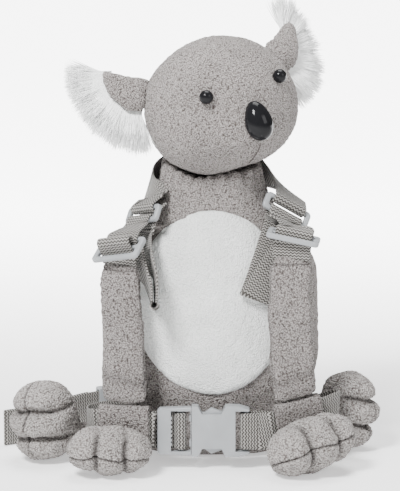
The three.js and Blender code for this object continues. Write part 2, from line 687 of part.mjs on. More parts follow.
// The arm's tab: a loop of webbing sewn into the pad's top, standing over the lock's middle bar.
function armTabGeometry(pose) {
  const { lock } = pose;
  const top = armStations(pose)(0.05);
  const over = [180, 135, 90, 45, 0].map((angle) => ({
    at: lock.at(0, wrapRadius * Math.cos(rad(angle)), pose.slack + wrapRadius * Math.sin(rad(angle))),
    across: lock.x,
  }));
  const apart = WEBBING_THICKNESS / 2 + SEAT_GAP;
  const through = [-FITTING_BAR / 2 - 1, FITTING_BAR / 2];
  const rise = through.map((z) => ({ at: lock.at(0, -wrapRadius, z), across: lock.x }));
  const drop = through.map((z) => ({ at: lock.at(0, wrapRadius, z), across: lock.x })).toReversed();
  const [front, back] = [-apart, apart].map((y) => ({ at: top.at(0, y, 0), across: lock.x }));
  return largest(cut(webbing([front, ...rise, ...over, ...drop, back]), armGeometry(pose, SEAT_GAP)));
}

// Arms

// The cuff's frame: x along the strap's tunnel, y to the back. The cuff keeps clear of the buckle's end.
function cuffFrame({ side, cuff, arm }) {
  const turn = rad(arm.bottom.turn);
  const tilt = rad(cuff.tilt);
  const across = v3(Math.cos(turn) * Math.cos(tilt), Math.sin(turn) * Math.cos(tilt), Math.sin(tilt));
  const fromBuckle = buckleHalf + cuff.clear * WEBBING_WIDTH + (CUFF_LENGTH / 2) * across.x;
  const x = buckleCentre.x + side * fromBuckle;
  const centre = v3(x, -armDepth - arm.forward.bottom, WAIST_HEIGHT + cuffRise(cuff));
  return frameOf(centre, across, v3(-Math.sin(turn), Math.cos(turn), 0));
}

// How far out the cuff's outer end lies.
const cuffEnd = (pose) => pose.side * cuffFrame(pose).at((pose.side * CUFF_LENGTH) / 2, 0, 0).x;

const cuffRise = (cuff) => WEBBING_WIDTH * (0.06 + 0.016 * cuff.tilt);
const cuffHeight = WEBBING_WIDTH + 2 * (FITTING_SIDE_ROOM + CUFF_WALL);
const cuffDepth = WEBBING_THICKNESS + 2 * (FITTING_SIDE_ROOM + CUFF_WALL);

function cuffGeometry(grow) {
  const outline = roundedRectangle(new THREE.Shape(), cuffHeight + 2 * grow, cuffDepth + 2 * grow, CUFF_CORNER);
  if (!grow) {
    const tunnel = [WEBBING_WIDTH + 2 * FITTING_SIDE_ROOM, WEBBING_THICKNESS + 2 * FITTING_SIDE_ROOM];
    outline.holes.push(new THREE.Path(roundedRectangle(new THREE.Path(), ...tunnel, 0.4).getPoints(1)));
  }
  const length = CUFF_LENGTH + 2 * grow;
  const sleeve = new THREE.ExtrudeGeometry(outline, { depth: length, bevelEnabled: false, curveSegments: 3 });
  return sleeve.translate(0, 0, -length / 2).rotateY(Math.PI / 2);
}

// The pad's centre line and turn, from its sewn top down to the cuff.
function armStations(pose) {
  const { top, middle, bottom, forward } = pose.arm;
  const foot = cuffFrame(pose).at(0, 0, cuffHeight / 2 + SEAT_GAP);
  const places = [
    { at: v3(top.x * BODY_WIDTH, -armDepth - forward.top, top.z * BODY_HEIGHT), turn: top.turn },
    { at: v3(middle.x * BODY_WIDTH, -armDepth - forward.middle, middle.z * BODY_HEIGHT), turn: middle.turn },
    { at: foot, turn: bottom.turn },
  ];
  const line = new THREE.CatmullRomCurve3(places.map(({ at }) => at));
  const turns = new THREE.CatmullRomCurve3(places.map(({ turn }) => v3(turn, 0, 0)));
  return (share) => {
    const turn = rad(turns.getPoint(share).x);
    const tilt = rad(pose.cuff.tilt) * share ** 3;
    const across = v3(Math.cos(turn), Math.sin(turn), Math.tan(tilt));
    return frameOf(line.getPoint(share), across, v3(-Math.sin(turn), Math.cos(turn), 0));
  };
}

function armGeometry(pose, grow) {
  const station = armStations(pose);
  const rings = ARM_SECTIONS.toReversed().map(({ down, width, thickness }) => {
    const frame = station(down);
    const [halfWidth, halfThickness] = [(width * ARM_WIDTH) / 2 + grow, (thickness * ARM_THICKNESS) / 2 + grow];
    const rise = down > 0 ? 0 : grow;
    return Array.from({ length: ARM_SIDES }, (_, i) => {
      const [x, y] = superellipse((2 * Math.PI * i) / ARM_SIDES, halfWidth, halfThickness, ARM_SQUARENESS);
      return frame.at(x, y, rise);
    });
  });
  return loft(rings);
}

// Hands and feet

// A stuffed mitt: x across its lobes, -y towards their tips. Grooves run between the lobes and fade
// out at the back.
function mittGeometry({ width, length, thickness }) {
  const point = (share, angle) => {
    const place = Math.sin((share * Math.PI) / 2);
    const close = (1 - Math.abs(place) ** MITT_SQUARENESS) ** (1 / MITT_SQUARENESS);
    const lobe = ((place + 1) * MITT_LOBES) / 2;
    let groove = 0;
    for (let edge = 1; edge < MITT_LOBES; edge++) groove += Math.exp(-(((lobe - edge) / MITT_GROOVE_WIDTH) ** 2));
    const towardsTips = THREE.MathUtils.smoothstep(-Math.sin(angle), -0.65, 0.8);
    const radius = close * (1 - MITT_GROOVE * groove * towardsTips);
    return v3((place * width) / 2, (radius * length * Math.sin(angle)) / 2, (radius * thickness * Math.cos(angle)) / 2);
  };
  const rings = Array.from({ length: MITT_ROWS }, (_, row) => {
    const share = -1 + (2 * (row + 1)) / (MITT_ROWS + 1);
    return Array.from({ length: MITT_COLUMNS }, (_, i) => point(share, (2 * Math.PI * i) / MITT_COLUMNS));
  });
  return loft(rings, { first: point(-1, 0), last: point(1, 0) });
}

// Flattens whatever lies under the floor onto it.
function restOnFloor(geometry) {
  const position = geometry.getAttribute('position');
  for (let i = 0; i < position.count; i++) position.setZ(i, Math.max(position.getZ(i), 0));
  return geometry;
}

function poseMatrix({ turn, pitch, roll }, centre) {
  const rotation = new THREE.Euler(rad(pitch), rad(roll), rad(turn), 'ZXY');
  return new THREE.Matrix4().makeRotationFromEuler(rotation).setPosition(centre);
}

// A hand's or foot's own size: its shares of the named one.
const shareOf = (named, { width, length, thickness }) => ({
  width: named.width * width,
  length: named.length * length,
  thickness: named.thickness * thickness,
});

function handGeometry(pose) {
  const { side, hand } = pose;
  const cuff = cuffFrame(pose).at(0, 0, 0);
  const centre = v3(cuff.x + side * hand.out * HAND.width, hand.y * BODY_DEPTH, hand.z * HAND.thickness);
  const mitt = restOnFloor(placed(mittGeometry(shareOf(HAND, hand)), poseMatrix(hand, centre)));
  const sleeve = placed(cuffGeometry(SEAT_GAP), cuffFrame(pose).matrix);
  return largest(cut(mitt, sleeve, waistWebbing(pose, SEAT_GAP)));
}

function footCentre(pose) {
  const { side, foot } = pose;
  const out = Math.max(BODY_WIDTH / 2 + foot.out * FOOT.length, cuffEnd(pose) + foot.clear * FOOT.length);
  return v3(side * out, foot.y * BODY_DEPTH, foot.z * FOOT.width);
}

const footGeometry = (pose) =>
  restOnFloor(placed(mittGeometry(shareOf(FOOT, pose.foot)), poseMatrix(pose.foot, footCentre(pose))));

// A short plain leg from the body's side into the back of the foot.
function legGeometry(pose) {
  const { side } = pose;
  const radius = LEG_THICKNESS / 2;
  const end = footCentre(pose);
  const hip = v3(side * BODY_WIDTH * 0.36, BODY_DEPTH * 0.08, radius);
  const ankle = v3(end.x, end.y + BODY_DEPTH * 0.06, radius * 1.2);
  const line = new THREE.LineCurve3(hip, ankle);
  const section = new THREE.Shape();
  section.absarc(0, 0, radius, 0, 2 * Math.PI, false);
  const tube = new THREE.ExtrudeGeometry(section, { steps: 4, extrudePath: line, curveSegments: LEG_SIDES / 2 });
  const grown = placed(mittGeometry(grownMitt(shareOf(FOOT, pose.foot))), poseMatrix(pose.foot, end));
  return largest(cut(restOnFloor(tube), bodyForm(SEAT_GAP), grown));
}

const grownMitt = (mitt) => ({
  width: mitt.width + 2 * SEAT_GAP,
  length: mitt.length + 2.6 * SEAT_GAP,
  thickness: mitt.thickness + 2.6 * SEAT_GAP,
});

// Buckle. Its frame has x along the waist strap, y to the back and z up.

const buckleHalf = BUCKLE.length / 2;
const slotStart = -buckleHalf + BUCKLE.plate;
const barAt = slotStart + LOCK_SLOT + FITTING_BAR / 2;
const slotEnd = barAt + FITTING_BAR / 2 + LOCK_SLOT;
const socketStart = slotEnd + FITTING_BAR / 2 - 1;
const endBarAt = buckleHalf - FITTING_BAR / 2 - 1;
const socketEnd = endBarAt - FITTING_BAR / 2 - LOCK_SLOT;
const buckleCentre = v3(-0.038 * BODY_WIDTH, -armDepth - 2.5, WAIST_HEIGHT);
const buckleInside = WEBBING_WIDTH + 2 * FITTING_SIDE_ROOM;

function slab(points, depth, y) {
  const outline = new THREE.Shape(points.map(([x, z]) => new THREE.Vector2(x, z)));
  const body = new THREE.ExtrudeGeometry(outline, { depth, bevelEnabled: false });
  return body.rotateX(Math.PI / 2).translate(0, y + depth, 0);
}

const rectangle = (x0, x1, z0, z1) => [
  [x0, z0],
  [x1, z0],
  [x1, z1],
  [x0, z1],
];

function block(x0, x1, depth, z0, z1, y = -depth / 2) {
  return slab(rectangle(x0, x1, z0, z1), depth, y);
}

const joined = (...pieces) => geometryOf(pieces.map(manifoldOf).reduce((whole, piece) => whole.add(piece)));

// The half with the prongs: a toothed plate, a bar that the strap runs over, and two sprung prongs.
function prongHalfGeometry() {
  const { inset, thickness, front, corner, flare } = BUCKLE_FRAME;
  const half = BUCKLE.height / 2 - inset;
  const frame = [
    [-buckleHalf, -half + corner],
    [-buckleHalf + corner, -half],
    [socketStart - SEAT_GAP, -half - flare],
    [socketStart - SEAT_GAP, half + flare],
    [-buckleHalf + corner, half],
    [-buckleHalf, half - corner],
  ];
  const face = -BUCKLE.thickness / 2 + front;
  const rails = slab(frame, thickness, face);
  const opening = block(slotStart, slotEnd, BUCKLE.thickness * 2, -buckleInside / 2, buckleInside / 2);
  const underPlate = block(-buckleHalf - 1, slotStart + 0.1, 4, -buckleInside / 2, buckleInside / 2, -0.9);
  const deep = BUCKLE_FRAME.bar;
  const bar = block(barAt - FITTING_BAR / 2, barAt + FITTING_BAR / 2, deep, -half + front, half - front);
  const teeth = Array.from({ length: BUCKLE_FRAME.teeth }, (_, i) => {
    const z = (i - (BUCKLE_FRAME.teeth - 1) / 2) * BUCKLE.teeth;
    const thick = BUCKLE.teeth / 4;
    return block(slotStart - thick, slotStart + thick, 2 * thick, z - thick, z + thick, face);
  });
  const reach = socketStart + BUCKLE.tongue;
  const { root, outer, tip, rootInward } = BUCKLE_PRONG;
  const prong = (sign) => {
    const points = [
      [socketStart + root, sign * (half - rootInward.inner)],
      ...tip.toReversed().map(({ back, inward }) => [reach - back, sign * (half - inward)]),
      ...outer.toReversed().map(({ along, inward }) => [socketStart + along, sign * (half - inward)]),
      [socketStart + root, sign * (half - rootInward.outer)],
    ];
    return slab(sign > 0 ? points : points.toReversed(), BUCKLE_PRONG.thickness, -BUCKLE_PRONG.thickness / 2);
  };
  return joined(cut(rails, opening, underPlate), bar, ...teeth, prong(1), prong(-1));
}

// The socket half: a flat case with a notch in each side that shows the prong, and an end bar.
function socketHalfGeometry() {
  const half = BUCKLE.height / 2;
  const { wall, cavity, near, far, window, frame, shoulder, rim } = BUCKLE_CASE;
  const [a, b] = [socketStart + near, socketStart + far];
  const notch = (sign) => [
    [a, sign * half],
    [a + BUCKLE_NOTCH.slope, sign * (half - BUCKLE_NOTCH.depth)],
    [b - BUCKLE_NOTCH.slope, sign * (half - BUCKLE_NOTCH.depth)],
    [b, sign * half],
  ];
  const nose = half - shoulder;
  const outline = [
    [socketStart, -half],
    ...notch(-1),
    [socketEnd + shoulder, -half],
    [buckleHalf, -nose],
    [buckleHalf, nose],
    [socketEnd + shoulder, half],
    ...notch(1).toReversed(),
    [socketStart, half],
  ];
  const shell = slab(outline, BUCKLE.thickness, -BUCKLE.thickness / 2);
  const hollow = block(socketStart - wall, socketEnd - shoulder, cavity, -half + wall, half - wall);
  const rear = socketEnd;
  const windows = [1, -1].map((sign) =>
    block(a + frame, b - frame, cavity, ...(sign > 0 ? [half - window, half + wall] : [-half - wall, window - half])),
  );
  const slot = block(rear, endBarAt - FITTING_BAR / 2, BUCKLE.thickness * 2, -buckleInside / 2, buckleInside / 2);
  const front = block(rear, buckleHalf + 1, 4, -buckleInside / 2, buckleInside / 2, -BUCKLE.thickness / 2 - 0.5);
  const back = block(rear, buckleHalf + 1, 4, -buckleInside / 2, buckleInside / 2, BUCKLE.thickness / 2 - rim);
  const tail = block(endBarAt + FITTING_BAR / 2, buckleHalf + 1, BUCKLE.height, -buckleInside / 2, buckleInside / 2);
  return cut(shell, hollow, ...windows, slot, front, back, tail);
}

const buckleFrame = frameOf(buckleCentre, v3(1, 0, 0), v3(0, 1, 0));

// A station of the waist strap near the buckle, upright and a distance x along it and y behind it.
const waistStation = (x, y) => ({ at: buckleFrame.at(x, y, 0), across: v3(0, 0, 1) });

function waistWrap(x, radius, fromAngle, toAngle, steps = 6) {
  return Array.from({ length: steps + 1 }, (_, i) => {
    const angle = rad(THREE.MathUtils.lerp(fromAngle, toAngle, i / steps));
    return waistStation(x + radius * Math.cos(angle), radius * Math.sin(angle));
  });
}

// Where the strap passes from the bar to behind the toothed plate.
const underPlate = [
  waistStation(barAt - wrapRadius - 0.9, WEBBING_THICKNESS / 2 + 0.2),
  waistStation(-buckleHalf - 3, WEBBING_THICKNESS / 2 + 0.4),
];

// The stretch through a cuff and round behind it to the body's side.
function waistRun(pose) {
  const cuff = cuffFrame(pose);
  const reach = CUFF_LENGTH / 2 + 2.5;
  const [near, far] = [-pose.side * reach, pose.side * reach];
  const through = [near, far].map((x) => ({ at: cuff.at(x, 0, 0), across: cuff.z }));
  const behind = pose.waistBack.map(({ past, x, y, z }) => {
    const out = past ? cuffEnd(pose) + past * WEBBING_WIDTH : x * BODY_WIDTH;
    return { at: v3(pose.side * out, y * BODY_DEPTH, WAIST_HEIGHT + z * BODY_HEIGHT), across: v3(0, 0, 1) };
  });
  return [...through, ...behind];
}

function waistWebbing(pose, grow) {
  const side = pose.side;
  const bar = side < 0 ? barAt : endBarAt;
  const hemDepth = wrapRadius + WEBBING_THICKNESS / 2;
  const hemEnd = waistStation(bar + side * (wrapRadius + HEM_LENGTH), hemDepth);
  const hemStart = waistStation(bar + side * (wrapRadius + 2), hemDepth);
  const around = waistWrap(bar, wrapRadius, 90, side < 0 ? -165 : 270, 9);
  const leave = side < 0 ? underPlate : [waistStation(bar + side * (wrapRadius + 6), -wrapRadius)];
  const [near, far, ...behind] = waistRun(pose);
  const lead = run([leave.at(-1), near], 3).slice(1);
  const rest = run([far, ...behind], 9);
  return webbing([hemEnd, hemStart, ...around, ...leave, ...lead, ...rest], { grow });
}

const waistStrapGeometry = (pose) => largest(cut(waistWebbing(pose, 0), bodyForm(SEAT_GAP)));

// Tether: webbing on its edge on the floor, from the body's back, behind the left foot, to the fold of
// its wrist loop. A plastic keeper holds the loop's end.
const TETHER = [
  { x: -0.12, y: 0.44, lift: 0 },
  { x: -0.2, y: 0.54, lift: 0 },
  { x: -0.36, y: 0.5, lift: 0.5 },
  { x: -0.49, y: 0.46, lift: 1 },
  { x: -0.6, y: 0.36, lift: 1 },
  { x: -0.78, y: 0.14, lift: 0 },
  { x: -0.95, y: -0.03, lift: 0 },
];
const KEEPER = { place: 0.56, length: 9, wall: 1.8 };
const TETHER_STEPS = 16;

function tetherStations() {
  return TETHER.map(({ x, y, lift }) => ({
    at: v3(x * BODY_WIDTH, y * BODY_DEPTH, WEBBING_WIDTH / 2 + lift * (KEEPER.wall + FITTING_SIDE_ROOM)),
    across: v3(0, 0, 1),
  }));
}

function tetherGeometry() {
  const out = run(tetherStations(), TETHER_STEPS);
  const [last, before] = [out.at(-1), out.at(-2)];
  const along = v3().subVectors(last.at, before.at).normalize();
  const aside = v3().crossVectors(along, last.across).normalize();
  const radius = WEBBING_THICKNESS / 2 + SEAT_GAP;
  const fold = Array.from({ length: 4 }, (_, i) => {
    const angle = (Math.PI * i) / 3;
    const at = last.at.clone().addScaledVector(aside, radius * (1 - Math.cos(angle)));
    return { at: at.addScaledVector(along, radius * Math.sin(angle)), across: last.across };
  });
  const loopStart = Math.round((KEEPER.place + 0.07) * TETHER_STEPS);
  const back = out.slice(loopStart, -1).toReversed().map((station, i, all) => {
    const next = i ? all[i - 1].at : last.at;
    const heading = v3().subVectors(next, station.at).normalize();
    const away = v3().crossVectors(heading, station.across).normalize();
    return { at: station.at.clone().addScaledVector(away, 2 * radius), across: station.across };
  });
  return largest(cut(restOnFloor(webbing([...out.slice(0, -1), ...fold, ...back])), bodyForm(SEAT_GAP)));
}

function keeperMatrix() {
  const stations = run(tetherStations(), TETHER_STEPS);
  const index = Math.round(KEEPER.place * TETHER_STEPS) - 0.5;
  const [before, after] = [stations[Math.floor(index)].at, stations[Math.ceil(index)].at];
  const middle = v3().addVectors(before, after).divideScalar(2);
  middle.setZ(WEBBING_WIDTH / 2 + FITTING_SIDE_ROOM + KEEPER.wall);
  const along = v3().subVectors(after, before).setZ(0);
  return frameOf(middle, v3(0, 0, 1), v3().crossVectors(along, v3(0, 0, 1))).matrix;
}

function keeperGeometry() {
  const [hole, wall] = [
    [WEBBING_WIDTH + 2 * FITTING_SIDE_ROOM, WEBBING_THICKNESS + 2 * FITTING_SIDE_ROOM],
    2 * KEEPER.wall,
  ];
  const outline = roundedRectangle(new THREE.Shape(), hole[0] + wall, hole[1] + wall, KEEPER.wall);
  outline.holes.push(new THREE.Path(roundedRectangle(new THREE.Path(), ...hole, 0.5).getPoints(1)));
  const options = { depth: KEEPER.length, bevelEnabled: false, curveSegments: 2 };
  return new THREE.ExtrudeGeometry(outline, options).translate(0, 0, -KEEPER.length / 2);
}

// Materials

const cloth = (color) => new THREE.MeshStandardMaterial({ color, roughness: 0.95, metalness: 0 });
const plastic = (color, roughness) => new THREE.MeshStandardMaterial({ color, roughness, metalness: 0 });
const greyPlush = cloth(0xb4aba8);
const whitePlush = cloth(0xe6e8e5);
const whiteFur = cloth(0xe9ebe8);
const greyWebbing = cloth(0x9b9892);
const zipTape = cloth(0x8f8a86);
const palePlastic = plastic(0xc3c7ca, 0.4);
const blackPlastic = plastic(0x0b0b0c, 0.12);

function mesh(name, geometry, material, matrix = null) {
  const made = new THREE.Mesh(geometry, material);
  made.name = name;
  if (matrix) made.applyMatrix4(matrix);
  return made;
}

// Assembly

const koala = new THREE.Group();

const head = new THREE.Group();
const headRise = BODY_HEIGHT - HEAD_SINK + HEAD_HEIGHT / 2;
head.position.set(HEAD_SIDEWAYS * HEAD_WIDTH, -HEAD_FORWARD * HEAD_DEPTH, headRise);
head.rotation.set(0, rad(HEAD_TILT), rad(HEAD_TURN), 'YXZ');
head.updateMatrix();
head.add(mesh('head', headForm(0), greyPlush));
head.add(mesh('nose', noseGeometry(), blackPlastic));
for (const { side, name } of [
  { side: -1, name: 'left' },
  { side: 1, name: 'right' },
]) {
  head.add(mesh(`eye_${name}`, eyeGeometry(side), blackPlastic));
  head.add(mesh(`ear_${name}`, earGeometry(side), greyPlush));
  head.add(mesh(`ear_fur_${name}`, earFurGeometry(side), whiteFur));
}
koala.add(head);

koala.add(mesh('body', bodyGeometry(placed(headForm(SEAT_GAP), head.matrix)), greyPlush));
koala.add(mesh('tummy_patch', tummyGeometry(), whitePlush));
koala.add(mesh('zip', zipGeometry(), zipTape));

for (const [name, pose] of Object.entries(SIDES)) {
  koala.add(mesh(`neck_strap_${name}`, neckStrapGeometry(pose), greyWebbing));
  koala.add(mesh(`strap_slider_${name}`, fittingGeometry(1, SLIDER_OPENING), palePlastic, pose.slider.matrix));
  koala.add(mesh(`adjuster_strap_${name}`, adjusterStrapGeometry(pose), greyWebbing));
  koala.add(mesh(`ladder_lock_${name}`, fittingGeometry(2, LOCK_SLOT), palePlastic, pose.lock.matrix));
  koala.add(mesh(`arm_tab_${name}`, armTabGeometry(pose), greyWebbing));
  koala.add(mesh(`arm_${name}`, armGeometry(pose, 0), greyPlush));
  koala.add(mesh(`cuff_${name}`, cuffGeometry(0), greyPlush, cuffFrame(pose).matrix));
  koala.add(mesh(`hand_${name}`, handGeometry(pose), greyPlush));
  koala.add(mesh(`leg_${name}`, legGeometry(pose), greyPlush));
  koala.add(mesh(`foot_${name}`, footGeometry(pose), greyPlush));
  koala.add(mesh(`waist_strap_${name}`, waistStrapGeometry(pose), greyWebbing));
}

koala.add(mesh('buckle_prongs', prongHalfGeometry(), palePlastic, buckleFrame.matrix));
koala.add(mesh('buckle_socket', socketHalfGeometry(), palePlastic, buckleFrame.matrix));
koala.add(mesh('tether', tetherGeometry(), greyWebbing));
koala.add(mesh('tether_keeper', keeperGeometry(), palePlastic, keeperMatrix()));

export default koala;
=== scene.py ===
import math

import bmesh
import bpy
import numpy as np
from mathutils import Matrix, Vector


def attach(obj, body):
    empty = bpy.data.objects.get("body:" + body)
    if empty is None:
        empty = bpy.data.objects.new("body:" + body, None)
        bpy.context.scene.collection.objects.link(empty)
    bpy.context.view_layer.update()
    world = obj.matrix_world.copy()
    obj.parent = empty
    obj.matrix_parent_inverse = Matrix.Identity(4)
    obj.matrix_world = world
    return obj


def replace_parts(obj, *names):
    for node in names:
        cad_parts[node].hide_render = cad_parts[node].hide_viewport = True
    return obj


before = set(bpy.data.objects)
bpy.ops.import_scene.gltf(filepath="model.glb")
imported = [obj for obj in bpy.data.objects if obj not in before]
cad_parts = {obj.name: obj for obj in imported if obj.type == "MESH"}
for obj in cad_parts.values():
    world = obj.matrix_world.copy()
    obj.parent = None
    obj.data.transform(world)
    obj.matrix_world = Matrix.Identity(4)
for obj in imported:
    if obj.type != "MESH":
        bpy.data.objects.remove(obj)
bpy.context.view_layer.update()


# The view.
# The backpack sits on a pale table and is seen from straight in front, a little above, through a
# long lens. Soft lights stand to the left, to the right and overhead.
photo_size = (400, 491)
focal_pixels = 2470
looked_at = Vector((-0.008, 0, 0.14))
camera_height, camera_away = math.radians(10), 1.7
camera = bpy.data.objects.new("camera", bpy.data.cameras.new("camera"))
camera.location = looked_at + camera_away * Vector((0, -math.cos(camera_height), math.sin(camera_height)))
camera.rotation_euler = (math.pi / 2 - camera_height, 0, 0)
camera.data.lens = camera.data.sensor_width * focal_pixels / photo_size[1]
camera.data.shift_y = 1.5 / photo_size[1]
bpy.context.scene.collection.objects.link(camera)
bpy.context.scene.camera = camera


def soft_light(name, place, aim, size, power):
    """A square area light at a place, turned so that its face looks at a point."""
    light = bpy.data.objects.new(name, bpy.data.lights.new(name, "AREA"))
    light.data.size = size
    light.data.energy = power
    light.location = place
    light.rotation_euler = (Vector(aim) - Vector(place)).to_track_quat("-Z", "Y").to_euler()
    bpy.context.scene.collection.objects.link(light)


soft_light("key_light", (-0.6, -1.0, 1.35), (0, 0, 0.14), 0.42, 64)
soft_light("fill_light", (1.2, -0.8, 0.9), (0, 0, 0.14), 0.7, 9)
soft_light("top_light", (0.1, 0.3, 1.5), (0, 0, 0.1), 0.9, 30)
# Round the table the room is white to look at, and dim as a light.
world = bpy.data.worlds.new("studio")
world.use_nodes = True
room = world.node_tree.nodes
room["Background"].inputs["Color"].default_value = (1, 1, 1, 1)
room["Background"].inputs["Strength"].default_value = 0.16
seen_room, choice, path = (room.new(f"ShaderNode{kind}") for kind in ("Background", "MixShader", "LightPath"))
seen_room.inputs["Color"].default_value = (1, 1, 1, 1)
world.node_tree.links.new(path.outputs["Is Camera Ray"], choice.inputs[0])
world.node_tree.links.new(room["Background"].outputs[0], choice.inputs[1])
world.node_tree.links.new(seen_room.outputs[0], choice.inputs[2])
world.node_tree.links.new(choice.outputs[0], room["World Output"].inputs["Surface"])
bpy.context.scene.world = world


def lay(name, points, round_rows=False, round_columns=False, caps=False, across=None, along=None):
    """A mesh over a grid of points in millimetres, rows by columns.

    Each face joins two neighbours in a row with the two below them; a round direction joins its last
    to its first. Where a measure across and one along are given, they make the UV map, in metres.
    """
    rows, columns = points.shape[:2]
    row, column = np.meshgrid(
        np.arange(rows if round_rows else rows - 1),
        np.arange(columns if round_columns else columns - 1),
        indexing="ij",
    )
    corners = [(row, column), (row, column + 1), (row + 1, column + 1), (row + 1, column)]
    faces = np.stack([(r % rows) * columns + c % columns for r, c in corners], -1).reshape(-1, 4).tolist()
    if caps:
        last = (rows - 1) * columns
        faces.append(list(range(columns))[::-1])
        faces.append(list(range(last, last + columns)))
    mesh = bpy.data.meshes.new(name)
    mesh.from_pydata((points.reshape(-1, 3) * 0.001).tolist(), [], faces)
    if across is not None:
        corner_rows = np.stack([r for r, _ in corners], -1).reshape(-1)
        corner_columns = np.stack([c % columns for _, c in corners], -1).reshape(-1)
        flat = np.stack([across[corner_columns], along[corner_rows]], -1) * 0.001
        values = np.zeros((len(mesh.loops), 2))
        values[: len(flat)] = flat
        mesh.uv_layers.new(name="UVMap").data.foreach_set("uv", values.ravel())
    return settle(name, mesh)


def settle(name, mesh):
    """An object for a mesh, smooth and with its faces outwards."""
    shape = bmesh.new()
    shape.from_mesh(mesh)
    bmesh.ops.remove_doubles(shape, verts=shape.verts, dist=1e-6)
    bmesh.ops.recalc_face_normals(shape, faces=shape.faces)
    shape.to_mesh(mesh)
    shape.free()
    mesh.polygons.foreach_set("use_smooth", np.ones(len(mesh.polygons), bool))
    piece = bpy.data.objects.new(name, mesh)
    bpy.context.scene.collection.objects.link(piece)
    return piece


def finish_mesh(piece):
    """Bakes a piece's modifiers into its mesh."""
    graph = bpy.context.evaluated_depsgraph_get()
    mesh = bpy.data.meshes.new_from_object(piece.evaluated_get(graph))
    piece.modifiers.clear()
    piece.data = mesh
    mesh.polygons.foreach_set("use_smooth", np.ones(len(mesh.polygons), bool))


# The table top is one flat pale sheet, wide enough to fill the view from any side.
def table_top():
    """A square in the plane of the backpack's underside, 30 m from its middle to each side."""
    reach = np.array([-30000.0, 30000.0])
    grid = np.stack(np.broadcast_arrays(reach[None, :], reach[:, None], 0.0), -1)
    return lay("table_top", grid)


def material(name, color, roughness):
    """A new material: its node tree, and its shader with the two plain values set."""
    made = bpy.data.materials.new(name)
    made.use_nodes = True
    shader = made.node_tree.nodes["Principled BSDF"]
    shader.inputs["Base Color"].default_value = (*color, 1)
    shader.inputs["Roughness"].default_value = roughness
    return made, made.node_tree, shader


def add_group(name, inputs, outputs):
    """A shader node group with named inputs (name, kind, value) and outputs (name, kind)."""
    group = bpy.data.node_groups.new(name, "ShaderNodeTree")
    for label, kind, value in inputs:
        socket = group.interface.new_socket(label, in_out="INPUT", socket_type=f"NodeSocket{kind}")
        if value is not None:
            socket.default_value = value
    for label, kind in outputs:
        group.interface.new_socket(label, in_out="OUTPUT", socket_type=f"NodeSocket{kind}")
    return group, group.nodes.new("NodeGroupInput"), group.nodes.new("NodeGroupOutput")


def node(tree, kind, settings=(), **links):
    """A node with its settings; each link is a socket name and the value or socket that feeds it."""
    made = tree.nodes.new(f"ShaderNode{kind}")
    for name, value in dict(settings).items():
        setattr(made, name, value)
    for name, value in links.items():
        socket = made.inputs[int(name[1:])] if name[0] == "_" else made.inputs[name.replace("_", " ")]
        if isinstance(value, bpy.types.NodeSocket):
            tree.links.new(value, socket)
        else:
            socket.default_value = value
    return made


def own_place(tree):
    """The socket with a point's place in its object's own coordinates, in metres."""
    return tree.nodes.new("ShaderNodeTexCoord").outputs["Object"]


def maths(tree, operation, a, b=0.0, c=0.0):
    """The result of one sum on sockets or numbers."""
    return node(tree, "Math", {"operation": operation}, _0=a, _1=b, _2=c).outputs[0]


table = table_top()
table_paint, tree, shader = material("table paint", (0.93, 0.93, 0.93), 0.7)
spot = own_place(tree)
place = node(tree, "SeparateXYZ", Vector=spot)
# The table's paint glows: a little at the backpack, more far away, and most behind it.
glow = node(tree, "MapRange", {"interpolation_type": "SMOOTHSTEP"}, Value=place.outputs["Y"],
            **{"From_Min": 0.0, "From_Max": 1.1, "To_Min": 0.5, "To_Max": 7.0})
away = node(tree, "VectorMath", {"operation": "LENGTH"}, _0=spot)
rim = node(tree, "MapRange", {"interpolation_type": "SMOOTHSTEP"}, Value=away.outputs["Value"],
           **{"From_Min": 0.2, "From_Max": 1.6, "To_Min": 0.58, "To_Max": 1.1})
shader.inputs["Emission Color"].default_value = (1, 1, 1, 1)
tree.links.new(maths(tree, "MAXIMUM", glow.outputs[0], rim.outputs[0]), shader.inputs["Emission Strength"])
table.data.materials.append(table_paint)


# Body: a padded pouch of nubby grey plush over foam, zipped at the back. Its plush is sewn from
# panels, gathered where the neck joins the head, and hollow inside.
body_width, body_depth, body_height = 150.0, 98.0, 205.0
body_squareness = 2.4
body_net = 0.0031  # metres between the points of the plush before it is divided
body_heights = np.array([0, 0.022, 0.08, 0.18, 0.3, 0.44, 0.55, 0.635, 0.695, 0.75, 0.8, 0.85, 0.9, 1])
body_widths = np.array([62, 74, 85, 93, 98.5, 100, 99, 95, 88, 76, 64, 55, 50, 44]) / 100
body_depths = np.array([62, 76, 88, 96, 100, 99, 95, 89, 83, 76, 70, 65, 61, 56]) / 100


